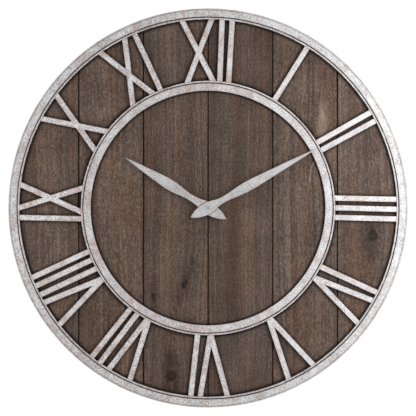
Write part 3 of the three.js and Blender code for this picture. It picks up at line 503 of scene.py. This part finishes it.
def raw_wood(name):
    """Planed, unfinished fir with its grain along X."""
    g = Graph(name)
    bend = g.noise(g.vector("MULTIPLY", g.place, (2, 0, 6)), 1.0, 2)
    band = g.noise(g.vector("MULTIPLY", g.place, (3, 60, 130)), 1.0, 4)
    fibre = g.noise(g.vector("MULTIPLY", g.place, (20, 900, 900)), 1.0, 2)
    wood = g.ramp(
        g.weigh((band, 0.60), (fibre, 0.25), (bend, 0.15)),
        (0.36, (0.27, 0.15, 0.075)),
        (0.50, (0.46, 0.30, 0.165)),
        (0.64, (0.60, 0.43, 0.26)),
    )
    return g.finish(wood, g.steps(fibre, 0.3, 0.7, 0.6, 0.8), 0.0, fibre, 0.4 * MM, 0.3)


def plastic(name, colour, roughness):
    """Moulded plastic: a fine spark-eroded texture, and slow changes of gloss where it was handled."""
    g = Graph(name)
    sparks = g.noise(g.place, 2600, 2)
    handled = g.noise(g.place, 60, 3)
    darker = tuple(0.82 * channel for channel in colour)
    shade = g.mix(g.steps(handled, 0.35, 0.65), darker, colour)
    gloss = g.steps(handled, 0.3, 0.7, roughness - 0.08, roughness + 0.1)
    return g.finish(shade, gloss, 0.0, sparks, 0.05 * MM)


def metal(name, colour, roughness, stretch=(1, 1, 1), tarnish=(0.5, 0.45, 0.4)):
    """Bare metal with fine tool marks, drawn out by stretch, and a little tarnish."""
    g = Graph(name)
    marks = g.noise(g.vector("MULTIPLY", g.place, stretch), 900, 3, 0.65)
    stain = g.noise(g.place, 130, 4, 0.6)
    dull = tuple(channel * share for channel, share in zip(colour, tarnish))
    shade = g.mix(g.steps(stain, 0.50, 0.78, 0.0, 0.55), colour, dull)
    gloss = g.steps(marks, 0.3, 0.7, roughness - 0.07, roughness + 0.09)
    gloss = g.math("ADD", gloss, g.steps(stain, 0.5, 0.8, 0.0, 0.15))
    return g.finish(shade, gloss, 1.0, marks, 0.04 * MM)


def battery_sleeve(name):
    """A plain foil sleeve with a pale band, and bare steel at both ends of the cell."""
    g = Graph(name)
    low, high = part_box("battery")
    x = g.split(g.place)["X"]

    def past(place, way=1):
        """1 past a place along the cell, to its right or, where way is -1, to its left."""
        return g.steps(x, place, place + way * 0.2 * MM)

    scuff = g.noise(g.vector("MULTIPLY", g.place, (1, 6, 6)), 300, 3)
    band = g.times(past(high.x - 11 * MM), past(high.x - 7 * MM, -1))
    ends = g.math("MAXIMUM", past(high.x - 2.0 * MM), past(low.x + 0.9 * MM, -1))
    teal, pale = (0.020, 0.085, 0.110), (0.46, 0.48, 0.49)
    steel, scuffed = (0.55, 0.55, 0.56), (0.3, 0.3, 0.3)
    colour = g.mix(ends, g.mix(band, teal, pale), steel)
    colour = g.mix(g.steps(scuff, 0.62, 0.75, 0.0, 0.3), colour, scuffed)
    metallic = g.times(ends, 0.95)
    return g.finish(colour, g.steps(scuff, 0.3, 0.7, 0.22, 0.38), metallic, scuff, 0.03 * MM)


def circuit_board_green(name):
    """Solder mask over copper tracks."""
    g = Graph(name)
    x, _, z = g.split(g.place)
    layout = {"Vector": g.join(x, z, 0.0), "Scale": 260, "Mortar Size": 0.07, "Brick Width": 0.9}
    tracks = g.add("ShaderNodeTexBrick", layout).outputs["Fac"]
    dark, light, over_copper = (0.010, 0.060, 0.028), (0.022, 0.105, 0.050), (0.07, 0.19, 0.075)
    mask = g.mix(g.noise(g.place, 220, 3), dark, light)
    colour = g.mix(g.times(tracks, 0.55), mask, over_copper)
    return g.finish(colour, g.steps(tracks, 0.0, 1.0, 0.35, 0.28), 0.0, tracks, 0.06 * MM)


def copper_winding(name):
    """Enamelled copper wire, a little darker where the varnish lies thick."""
    g = Graph(name)
    varnish = g.noise(g.place, 700, 3)
    wire = g.mix(varnish, (0.36, 0.105, 0.035), (0.62, 0.23, 0.085))
    scratches = g.noise(g.vector("MULTIPLY", g.place, (1, 1, 4)), 2600, 2)
    return g.finish(wire, g.steps(varnish, 0.3, 0.7, 0.26, 0.40), 0.9, scratches, 0.01 * MM)


def studio_floor(name):
    """A pale, matte floor that glows a little and fades out towards its edge."""
    g = Graph(name)
    mottle = g.noise(g.place, 5, 4)
    reach = g.length(g.vector("SUBTRACT", g.place, FLOOR_MIDDLE))
    g.feed(g.shader, "Alpha", g.steps(reach, FLOOR_R, 0.35 * FLOOR_R))
    g.feed(g.shader, "Emission Color", (1.0, 1.0, 1.0))
    g.feed(g.shader, "Emission Strength", 0.20)
    colour = g.mix(mottle, (0.82, 0.82, 0.82), (0.88, 0.88, 0.875))
    return g.finish(colour, 0.8, 0.0, g.noise(g.place, 240, 2), 0.1 * MM, 0.2)


black_plastic = plastic("black_plastic", (0.016, 0.016, 0.017), 0.48)
white_plastic = plastic("white_plastic", (0.72, 0.70, 0.66), 0.36)
turned_brass = metal("turned_brass", (0.62, 0.43, 0.16), 0.28, tarnish=(0.45, 0.38, 0.30))
zinc_steel = metal("zinc_steel", (0.52, 0.53, 0.54), 0.34, stretch=(1, 1, 8))
bare_iron = metal("bare_iron", (0.24, 0.24, 0.25), 0.42, tarnish=(0.55, 0.42, 0.35))

# ---------------------------------------------------------------- mesh helpers

ALONG_X = Vector((1, 0, 0))
TO_WALL = Vector((0, 1, 0))
TO_FRONT = Vector((0, -1, 0))
CRISP = math.radians(38)  # edges sharper than this are shaded crisp
ROUNDED = math.radians(40)  # a node's edges sharper than this are rounded off
SAME_PLANE = math.radians(0.5)  # faces that meet at less than this become one
SAME_PLACE = 0.002 * MM  # corners closer than this become one


def show(name, bm, material, body=FIXED):
    """A bmesh as a shown piece that rides on a body, with smooth rounds and crisp corners."""
    mesh = bpy.data.meshes.new(name)
    bm.to_mesh(mesh)
    bm.free()
    mesh.shade_smooth()
    mesh.set_sharp_from_angle(angle=CRISP)
    mesh.materials.append(material)
    piece = bpy.data.objects.new(name, mesh)
    bpy.context.scene.collection.objects.link(piece)
    weighted = piece.modifiers.new("even_shading", "WEIGHTED_NORMAL")
    weighted.keep_sharp = True
    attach(piece, body)
    return piece


def refine(node, material, edge, rows=2):
    """A copy of a CAD node that stands for it, with its sharp edges broken to a round of that size."""
    bm = bmesh.new()
    bm.from_mesh(nodes[node].data)
    bmesh.ops.remove_doubles(bm, verts=bm.verts, dist=SAME_PLACE)
    bmesh.ops.dissolve_limit(bm, angle_limit=SAME_PLANE, verts=bm.verts, edges=bm.edges)
    sharp = [e for e in bm.edges if len(e.link_faces) == 2 and e.calc_face_angle() > ROUNDED]
    bmesh.ops.bevel(
        bm,
        geom=sharp,
        offset=edge,
        segments=rows,
        profile=0.5,
        affect="EDGES",
        clamp_overlap=True,
    )
    piece = show(f"{node}_finished", bm, material, BODY_OF[node])
    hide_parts(node)


def dress(node, material):
    """A CAD node keeps its shape and gets a material."""
    mesh = nodes[node].data
    mesh.materials.clear()
    mesh.materials.append(material)


def square_to(axis):
    """Two directions at right angles to axis and to each other."""
    side = axis.orthogonal().normalized()
    return side, axis.cross(side)


def lathe(bm, profile, place, axis, steps=24):
    """Turns a profile of (radius, height) about axis through place, with height counted along axis.

    A radius is a length or a function of the angle. A radius of 0 closes an end, and a profile
    whose last point is its first closes on itself. Gives back the rows of corners."""
    side, other = square_to(axis)
    rows = []
    for radius, height in profile:
        middle = place + axis * height
        if radius == 0:
            rows.append([bm.verts.new(middle)])
            continue
        row = []
        for i in range(steps):
            angle = 2 * math.pi * i / steps
            out = radius(angle) if callable(radius) else radius
            across = side * out * math.cos(angle) + other * out * math.sin(angle)
            row.append(bm.verts.new(middle + across))
        rows.append(row)
    if profile[0] == profile[-1]:
        for corner in rows.pop():
            bm.verts.remove(corner)
        rows.append(rows[0])
    for low, high in zip(rows, rows[1:]):
        for i in range(steps):
            j = (i + 1) % steps
            corners = (low[i % len(low)], low[j % len(low)], high[j % len(high)], high[i % len(high)])
            bm.faces.new(dict.fromkeys(corners))
    return rows


def loop_edges(bm, loop):
    """The edges around a loop of corners, made where they are missing."""
    pairs = zip(loop, loop[1:] + loop[:1])
    return [bm.edges.get(pair) or bm.edges.new(pair) for pair in pairs]


def screw_head(bm, place, axis, radius, rise):
    """A domed head with a cross recess, standing on place and facing along axis."""
    dome = [(0.9 * radius, 0.0), (radius, 0.2 * rise), (0.94 * radius, 0.6 * rise), (0.72 * radius, rise)]
    top = lathe(bm, dome, place, axis)[-1]
    side, other = square_to(axis)
    arm, half = 0.55 * radius, 0.14 * radius
    cross = []
    for turn in range(4):
        for right, up in ((half, half), (half, arm), (-half, arm)):
            for _ in range(turn):
                right, up = -up, right
            cross.append(side * right + other * up)
    rim = [bm.verts.new(place + axis * rise + out) for out in cross]
    floor = [bm.verts.new(place + axis * 0.25 * rise + 0.7 * out) for out in cross]
    bmesh.ops.triangle_fill(bm, edges=loop_edges(bm, top) + loop_edges(bm, rim), use_beauty=True)
    for i in range(len(cross)):
        bm.faces.new((rim[i - 1], rim[i], floor[i], floor[i - 1]))
    bm.faces.new(floor)


def washer(bm, place, axis, bore, radius, thick):
    """A flat washer with a chamfer around its top."""
    edge = 0.25 * thick
    profile = [
        (bore, 0.0),
        (radius, 0.0),
        (radius, thick - edge),
        (radius - edge, thick),
        (bore, thick),
        (bore, 0.0),
    ]
    lathe(bm, profile, place, axis)


def hex_nut(bm, place, axis, bore, flat, height):
    """A hexagonal nut, its flats that far from its axis, with turned corners and a countersunk bore."""
    sixth = math.pi / 3
    mouth = 1.15 * bore
    chamfer = 0.12 * height

    def corners(angle):
        return flat / math.cos((angle + sixth / 2) % sixth - sixth / 2)

    def turned(angle):
        return min(corners(angle), 1.06 * flat)

    profile = [
        (mouth, 0.0),
        (turned, 0.0),
        (corners, chamfer),
        (corners, height - chamfer),
        (turned, height),
        (mouth, height),
        (bore, height - chamfer),
        (bore, chamfer),
        (mouth, 0.0),
    ]
    lathe(bm, profile, place, axis, 48)


def thread(bm, place, axis, root, tip, pitch, length, steps=16):
    """One helical ridge along axis from place, which fades into the root at both ends."""
    side, other = square_to(axis)
    count = int(steps * length / pitch)
    ridge = []
    for i in range(count + 1):
        angle = 2 * math.pi * i / steps
        out = side * math.cos(angle) + other * math.sin(angle)
        fade = min(1.0, i / steps, (count - i) / steps)
        foot = place + axis * pitch * i / steps
        crest = root + (tip - root) * fade
        spots = ((root, 0.0), (crest, 0.42 * pitch), (crest, 0.58 * pitch), (root, pitch))
        ridge.append([bm.verts.new(foot + out * radius + axis * rise) for radius, rise in spots])
    for this, following in zip(ridge, ridge[1:]):
        for i in range(3):
            bm.faces.new((this[i], following[i], following[i + 1], this[i + 1]))
    bm.faces.new(ridge[0])
    bm.faces.new(ridge[-1][::-1])


def bead(bm, points, radius, around=8):
    """A weld bead through points, with the ripples of the pass and rounded ends."""
    last = len(points) - 1
    rings = []
    for i, point in enumerate(points):
        along = (points[min(i + 1, last)] - points[max(i - 1, 0)]).normalized()
        across = along.cross(TO_WALL).normalized()
        rounded = max(0.05, 1 - abs(2 * i / last - 1) ** 6)
        ripple = 1 + 0.14 * math.cos(2.1 * i)
        ring = []
        for k in range(around):
            turn = 2 * math.pi * k / around
            out = across * math.cos(turn) + TO_WALL * math.sin(turn)
            ring.append(bm.verts.new(point + out * radius * rounded * ripple))
        rings.append(ring)
    for this, following in zip(rings, rings[1:]):
        for k in range(around):
            bm.faces.new((this[k - 1], this[k], following[k], following[k - 1]))
    bm.faces.new(rings[0][::-1])
    bm.faces.new(rings[-1])


def bar(bm, low, high, edge):
    """A block between two corners, with its edges broken to a round of that size."""
    made = bmesh.ops.create_cube(bm, size=1.0)["verts"]
    bmesh.ops.scale(bm, vec=high - low, verts=made)
    bmesh.ops.translate(bm, vec=(low + high) / 2, verts=made)
    edges = list(dict.fromkeys(line for vertex in made for line in vertex.link_edges))
    bmesh.ops.bevel(bm, geom=edges, offset=edge, segments=2, profile=0.5, affect="EDGES")


def slab(bm, outline, front, back):
    """A flat plate between two depths. Its (x, z) corners run anticlockwise as seen from the front."""
    near, far = ([bm.verts.new((x, y, z)) for x, z in outline] for y in (front, back))
    bm.faces.new(near)
    bm.faces.new(far[::-1])
    for i in range(len(outline)):
        bm.faces.new((near[i - 1], far[i - 1], far[i], near[i]))


# ---------------------------------------------------------------- dial and frame

for index, node in enumerate(RINGS):
    lightness, rust = (1.0, 1.12) if node == "inner_ring" else (0.975, 0.80)
    paint = whitewash(f"whitewash_{node}", 1.7 * index, lightness, rust)
    refine(node, paint, edge=0.5 * MM)
for index, node in enumerate(NUMERALS):
    paint = whitewash(f"whitewash_{node}", 7.3 + 0.9 * index, lightness=1.065, rust=1.15)
    refine(node, paint, edge=0.35 * MM)
for index, node in enumerate(PLANKS):
    refine(node, stained_wood(node, 2.0 + 4.3 * index), edge=0.25 * MM, rows=1)
raw_fir = raw_wood("raw_fir")
for node in ("batten_upper", "batten_lower"):
    refine(node, raw_fir, edge=0.8 * MM)
refine("wall_hanger", zinc_steel, edge=0.25 * MM)

# ---------------------------------------------------------------- movement


def battery_cell():
    """An AA cell: a sleeve crimped over both ends, a raised button, and a stepped plate opposite."""
    low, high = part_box("battery")
    middle = middle_of("battery")
    radius = (high.z - low.z) / 2
    shoulder = high.x - low.x - 1.0 * MM  # where the button starts
    crimp = radius - 0.7 * MM
    profile = [
        # the plate of the flat end
        (0, 0.3 * MM),
        (4.3 * MM, 0.3 * MM),
        (4.7 * MM, 0.0),
        (5.5 * MM, 0.0),
        (5.8 * MM, 0.4 * MM),
        # the sleeve, from its crimp there to the groove that holds the seal
        (crimp, 0.4 * MM),
        (crimp + 0.3 * MM, 0.1 * MM),
        (radius - 0.1 * MM, 0.4 * MM),
        (radius, 0.9 * MM),
        (radius, shoulder - 3.4 * MM),
        (radius - 0.15 * MM, shoulder - 3.0 * MM),
        (radius - 0.15 * MM, shoulder - 2.5 * MM),
        (radius, shoulder - 2.1 * MM),
        # its crimp at the other end
        (radius, shoulder - 0.9 * MM),
        (radius - 0.3 * MM, shoulder - 0.2 * MM),
        (crimp, shoulder - 0.1 * MM),
        (crimp - 0.3 * MM, shoulder - 0.4 * MM),
        # the button
        (3.0 * MM, shoulder - 0.3 * MM),
        (2.7 * MM, shoulder),
        (2.6 * MM, shoulder + 0.7 * MM),
        (2.3 * MM, shoulder + 1.0 * MM),
        (0, shoulder + 1.0 * MM),
    ]
    bm = bmesh.new()
    lathe(bm, profile, Vector((low.x, middle.y, middle.z)), ALONG_X, 48)
    cell = show("battery_cell", bm, battery_sleeve("battery_sleeve"))
    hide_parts("battery")


def wound_coil():
    """A bobbin with two flanges and a bore for the stator's core, and rounds of wire side by side."""
    low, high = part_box("coil")
    middle = middle_of("coil")
    start = Vector((low.x, middle.y, middle.z))
    length = high.x - low.x
    radius = (high.z - low.z) / 2
    bore = 1.2 * MM
    barrel = 1.6 * MM
    flange = 0.8 * MM
    soft = 0.15 * MM
    bobbin = [
        (bore, 0.0),
        (radius - soft, 0.0),
        (radius, soft),
        (radius, flange - soft),
        (radius - soft, flange),
        (barrel, flange),
        (barrel, length - flange),
        (radius - soft, length - flange),
        (radius, length - flange + soft),
        (radius, length - soft),
        (radius - soft, length),
        (bore, length),
        (bore, 0.0),
    ]
    bm = bmesh.new()
    lathe(bm, bobbin, start, ALONG_X)
    spool = show("coil_bobbin", bm, white_plastic)
    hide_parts("coil")

    wire = 0.16 * MM
    play = 0.02 * MM
    outside = radius - 0.6 * MM
    winding = [(barrel + play, flange + play)]
    for i in range(int((length - 2 * flange) / wire)):
        winding.append((outside - 0.5 * wire, flange + (i + 0.1) * wire))
        winding.append((outside, flange + (i + 0.5) * wire))
    winding += [(barrel + play, length - flange - play), winding[0]]
    bm = bmesh.new()
    lathe(bm, winding, start, ALONG_X)
    show("coil_winding", bm, copper_winding("copper_winding"))


def driver_board():
    """The circuit board and what is soldered to it."""
    low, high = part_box("circuit_board")
    front = high.y - 1.0 * MM
    bm = bmesh.new()
    bar(bm, Vector((low.x, front, low.z)), high, 0.15 * MM)
    board = show("driver_board", bm, circuit_board_green("circuit_board_green"))
    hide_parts("circuit_board")
    level = (low.z + high.z) / 2
    resin_drop(Vector((low.x + 7 * MM, front, level)))
    quartz_can(Vector((high.x - 4 * MM, front, level)))
    solder_joints(low, high, front)


def resin_drop(place):
    """The drop of black resin over the driver chip."""
    radius = 3.0 * MM
    rise = 1.0 * MM
    turns = [math.pi / 2 * i / 8 for i in range(8)]
    dome = [(radius * math.cos(turn), rise * math.sin(turn)) for turn in turns]
    bm = bmesh.new()
    lathe(bm, [*dome, (0, rise)], place, TO_FRONT, 32)
    show("resin_drop", bm, black_plastic)


def quartz_can(place):
    """The quartz's drawn can, standing on its flange."""
    radius = 1.3 * MM
    flange = radius + 0.2 * MM
    rise = 2.8 * MM
    soft = 0.3 * MM
    profile = [
        (flange, 0.0),
        (flange, 0.3 * MM),
        (radius, 0.4 * MM),
        (radius, rise - soft),
        (radius - soft, rise),
        (0, rise),
    ]
    bm = bmesh.new()
    lathe(bm, profile, place, TO_FRONT)
    show("quartz_can", bm, zinc_steel)


def solder_joints(low, high, front):
    """Cones of solder in two rows, on both faces of the board."""
    joint = [(0.7 * MM, 0.0), (0.55 * MM, 0.2 * MM), (0.3 * MM, 0.45 * MM), (0, 0.5 * MM)]
    margin = 1.1 * MM
    bm = bmesh.new()
    for right in (1.2 * MM, 2.9 * MM, 11.5 * MM, 17.8 * MM):
        for up in (low.z + margin, high.z - margin):
            lathe(bm, joint, Vector((low.x + right, front, up)), TO_FRONT, 12)
            lathe(bm, joint, Vector((low.x + right, high.y, up)), TO_WALL, 12)
    show("solder_joints", bm, zinc_steel)


def knob_grip():
    """The milled grip around the set knob."""
    low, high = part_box("set_knob")
    middle = middle_of("set_knob")
    radius = (high.x - low.x) / 2
    inner = radius - 0.4 * MM
    front = -0.68 * MM
    chamfer = 0.12 * MM
    teeth = 24

    def milled(angle):
        return radius + 0.25 * MM + 0.22 * MM * math.cos(teeth * angle)

    def chamfered(angle):
        return milled(angle) - 0.15 * MM

    profile = [
        (inner, front),
        (milled, front),
        (milled, -chamfer),
        (chamfered, 0.0),
        (inner, 0.0),
        (inner, front),
    ]
    bm = bmesh.new()
    lathe(bm, profile, Vector((middle.x, high.y, middle.z)), TO_WALL, 4 * teeth)
    show("set_knob_grip", bm, black_plastic, BODY_OF["set_knob"])


RAISED = 0.45 * MM  # how far the cover's latches and signs stand out of it


def raised_bar(bm, middle, half_width, half_height, edge):
    """A block on the cover's back."""
    half = Vector((half_width, 0, half_height))
    bar(bm, middle - half, middle + half + TO_WALL * RAISED, edge)


def cover_latches():
    """The four snap latches that hold the cover on the case."""
    low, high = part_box("movement_cover")
    bm = bmesh.new()
    for x in (low.x, high.x):
        for z in (low.z + 8 * MM, high.z - 8 * MM):
            raised_bar(bm, Vector((x, high.y, z)), 1.4 * MM, 2.2 * MM, 0.2 * MM)
    show("cover_latches", bm, black_plastic)


def turning_arrow(bm, middle, back):
    """A curved arrow part of the way around a middle, on a face at the depth back."""
    ring_in, ring_out = 5.6 * MM, 6.3 * MM
    flare = 0.7 * MM  # how far the arrow's head stands out past its shaft on each side
    turns = [math.radians(200 + 10 * i) for i in range(15)]
    end = turns[-1]
    tip = end + 1.2 * MM / ring_in
    corners = [(ring_out, turn) for turn in turns]
    corners += [(ring_out + flare, end), ((ring_in + ring_out) / 2, tip), (ring_in - flare, end)]
    corners += [(ring_in, turn) for turn in reversed(turns)]
    outline = [(middle.x + r * math.cos(turn), middle.z + r * math.sin(turn)) for r, turn in corners]
    slab(bm, outline, back, back + RAISED)


def cover_signs():
    """The raised signs on the cover: an arrow around the set knob, and the battery's plus and minus."""
    low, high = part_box("movement_cover")
    bm = bmesh.new()
    turning_arrow(bm, middle_of("set_knob"), high.y)
    sign, line = 2.2 * MM, 0.45 * MM  # half the length and half the width of a stroke
    bottom = low.z + 3.4 * MM
    plus = Vector((high.x - 6 * MM, high.y, bottom))
    minus = Vector((low.x + 6 * MM, high.y, bottom))
    for middle in (plus, minus):
        raised_bar(bm, middle, sign, line, 0.1 * MM)
    for way in (1, -1):  # the plus's upright stroke, above and below the level one
        centre = plus + Vector((0, 0, way * (sign + line) / 2))
        raised_bar(bm, centre, line, (sign - line) / 2, 0.1 * MM)
    show("cover_signs", bm, black_plastic)


def stem_thread():
    """The thread of the movement's stem, from the planks to its front end."""
    bm = bmesh.new()
    start = on_dial(0, 0, PLANK_FRONT_Y)
    size = {"root": 3.9 * MM, "tip": 4.12 * MM, "pitch": 0.75 * MM, "length": 3.8 * MM}
    thread(bm, start, TO_FRONT, **size, steps=32)
    show("stem_thread", bm, black_plastic)


for node in ("movement_case", "movement_cover"):
    refine(node, black_plastic, edge=0.3 * MM)
for node in ("train_bridge", "fifth_wheel", "fourth_wheel", "third_wheel", "motion_wheel"):
    dress(node, white_plastic)
refine("mounting_nut", turned_brass, edge=0.2 * MM)
for node in ("centre_wheel", "hour_wheel"):
    dress(node, turned_brass)
for node in ("stator", "rotor"):
    dress(node, bare_iron)
for node in ("battery_contact_positive", "battery_contact_negative"):
    dress(node, zinc_steel)
dress("set_knob", black_plastic)
battery_cell()
wound_coil()
driver_board()
knob_grip()
cover_latches()
cover_signs()
stem_thread()

# ---------------------------------------------------------------- hands

HAND_LIGHTNESS = {"hour_hand": 0.875, "minute_hand": 0.82, "hand_nut": 0.84}
for index, (node, lightness) in enumerate(HAND_LIGHTNESS.items()):
    paint = whitewash(f"whitewash_{node}", 41.0 + 2.2 * index, lightness, bare_edges=0.30)
    refine(node, paint, edge=0.25 * MM)

# ---------------------------------------------------------------- fasteners and welds

STRIP_GAP = 14 * MM  # the ends of two strips on one hoop lie further apart than this
ON_HOOP = 0.8 * MM  # a strip's corners at a hoop lie within this of its radius
TAB_SCREWS = [math.radians(angle) for angle in (15, 75, 105, 165, 195, 255, 285, 345)]
STUDS = [math.radians(angle) for angle in (45, 135, 225, 315)]


def strip_ends(node):
    """Where a numeral's strips meet the hoops: (radius, first angle, last angle), angles in radians."""
    ends = []
    for radius in (NUMERAL_IN_R, NUMERAL_OUT_R):
        angles = set()
        for vertex in nodes[node].data.vertices:
            out = vertex.co - AXIS
            if abs(math.hypot(out.x, out.z) - radius) < ON_HOOP:
                angles.add(round(math.atan2(out.x, out.z) % (2 * math.pi), 4))
        run = []
        for angle in sorted(angles):
            if run and (angle - run[-1]) * radius > STRIP_GAP:
                ends.append((radius, run[0], run[-1]))
                run = []
            run.append(angle)
        ends.append((radius, run[0], run[-1]))
    return ends


def weld_strips(node, material):
    """A bead in each gap between a numeral's strips and the hoops."""
    bm = bmesh.new()
    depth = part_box(node)[0].y + 0.75 * MM
    step = 1.2 * MM
    for radius, first, last in strip_ends(node):
        count = max(6, int((last - first) * radius / step))
        turns = [first + (last - first) * i / count for i in range(count + 1)]
        bead(bm, [polar(radius, turn, depth) for turn in turns], 0.85 * MM)
    show(f"{node}_welds", bm, material)


def tab_screws():
    """A screw through each tab of the rim into the planks."""
    tab_back = PLANK_BACK_Y + 2.3 * MM
    inset = 9 * MM  # from the planks' edge
    shank = [(1.9 * MM, 0.2 * MM), (1.9 * MM, -2.2 * MM), (0, -2.6 * MM)]
    for index, turn in enumerate(TAB_SCREWS):
        bm = bmesh.new()
        place = polar(DIAL_R - inset, turn, tab_back)
        screw_head(bm, place, TO_WALL, radius=3.9 * MM, rise=2.0 * MM)
        lathe(bm, shank, place, TO_WALL, 12)
        show(f"tab_screw_{index + 1}", bm, zinc_steel)


def stud_nuts():
    """A washer and a nut on each stud of the inner ring, and the stud's own thread."""
    middle = (RING_IN_R + RING_OUT_R) / 2
    thick = 1.0 * MM
    nut_foot = TO_WALL * (thick + 0.05 * MM)
    thread_foot = TO_WALL * (thick + 0.2 * MM)
    nut = {"bore": 2.6 * MM, "flat": 4.0 * MM, "height": 4.0 * MM}
    ridge = {"root": 2.45 * MM, "tip": 2.75 * MM, "pitch": 0.8 * MM, "length": 6.6 * MM}
    for index, turn in enumerate(STUDS):
        bm = bmesh.new()
        place = polar(middle, turn, PLANK_BACK_Y)
        washer(bm, place, TO_WALL, 2.8 * MM, 6.0 * MM, thick)
        hex_nut(bm, place + nut_foot, TO_WALL, **nut)
        thread(bm, place + thread_foot, TO_WALL, **ridge)
        show(f"stud_nut_{index + 1}", bm, zinc_steel)


def batten_screws():
    """Screws through both battens: one into each plank, by turns below and above the middle."""
    end = BATTEN_RIGHT - 18 * MM
    stagger = 7 * MM
    for name in ("upper", "lower"):
        level = middle_of(f"batten_{name}").z
        for index, plank in enumerate(PLANKS):
            x = max(-end, min(end, middle_of(plank).x))
            z = level + (stagger if index % 2 else -stagger)
            bm = bmesh.new()
            screw_head(bm, Vector((x, BATTEN_BACK_Y, z)), TO_WALL, radius=4.2 * MM, rise=0.9 * MM)
            show(f"batten_{name}_screw_{index + 1}", bm, turned_brass)


def hanger_screws():
    """Two screws hold the strap's feet on the upper batten."""
    low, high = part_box("wall_hanger")
    foot_back = BATTEN_BACK_Y + 1.4 * MM
    inset = 6 * MM
    for index, x in enumerate((low.x + inset, high.x - inset)):
        bm = bmesh.new()
        place = Vector((x, foot_back, (low.z + high.z) / 2))
        screw_head(bm, place, TO_WALL, radius=3.8 * MM, rise=1.9 * MM)
        show(f"hanger_screw_{index + 1}", bm, zinc_steel)


for node in NUMERALS:
    weld_strips(node, bpy.data.materials[f"whitewash_{node}"])
tab_screws()
stud_nuts()
batten_screws()
hanger_screws()

# ---------------------------------------------------------------- stage and lights

FLOOR_R = 7 * OUTER_R
FLOOR_MIDDLE = Vector((AXIS.x, AXIS.y, rim_low.z - OUTER_R))

floor_mesh = bmesh.new()
bmesh.ops.create_grid(floor_mesh, x_segments=8, y_segments=8, size=FLOOR_R)
bmesh.ops.translate(floor_mesh, verts=floor_mesh.verts, vec=FLOOR_MIDDLE)
mesh = bpy.data.meshes.new("floor")
floor_mesh.to_mesh(mesh)
floor_mesh.free()
mesh.materials.append(studio_floor("studio_floor"))
floor = bpy.data.objects.new("floor", mesh)
bpy.context.scene.collection.objects.link(floor)


def softbox(name, right, up, away, size, watts):
    """A soft area light that faces the middle of the dial, placed in shares of the clock's radius."""
    light = bpy.data.lights.new(name, "AREA")
    light.shape = "RECTANGLE"
    light.size, light.size_y = size
    light.energy = watts
    lamp = bpy.data.objects.new(name, light)
    lamp.location = on_dial(right * OUTER_R, up * OUTER_R, -away * OUTER_R)
    aim = on_dial(0, 0, FRONT_Y) - lamp.location
    lamp.rotation_euler = aim.to_track_quat("-Z", "Y").to_euler()
    bpy.context.scene.collection.objects.link(lamp)


softbox("key_right", 1.4, 0.32, 1.55, (0.30, 0.7), 3.1)
softbox("fill_left", -1.7, 0.05, 0.9, (0.30, 0.6), 0.9)
softbox("back_right", 2.0, 1.6, -2.2, (0.6, 0.6), 7.0)
softbox("back_left", -2.4, 0.6, -2.0, (0.5, 0.7), 3.0)

world = bpy.data.worlds.new("studio")
bpy.context.scene.world = world
world.use_nodes = True
sky = world.node_tree
backdrop = sky.nodes["Background"]
backdrop.inputs["Color"].default_value = (1, 1, 1, 1)
seen = sky.nodes.new("ShaderNodeLightPath").outputs["Is Camera Ray"]
level = sky.nodes.new("ShaderNodeMapRange")
level.inputs["To Min"].default_value = 0.565  # as light
level.inputs["To Max"].default_value = 1.0  # as seen
sky.links.new(seen, level.inputs["Value"])
sky.links.new(level.outputs["Result"], backdrop.inputs["Strength"])

bpy.context.scene.view_settings.view_transform = "Standard"

# ---------------------------------------------------------------- camera

FRAME_WIDTH = 1.042 * 2 * OUTER_R  # what the picture takes in, side to side
CAMERA_AWAY = 14 * OUTER_R
camera_data = bpy.data.cameras.new("camera")
camera = bpy.data.objects.new("camera", camera_data)
camera.location = on_dial(0, 0, FRONT_Y - CAMERA_AWAY)
camera.rotation_euler = (math.radians(90), 0, 0)
camera_data.lens = camera_data.sensor_width * CAMERA_AWAY / FRAME_WIDTH
bpy.context.scene.collection.objects.link(camera)
bpy.context.scene.camera = camera
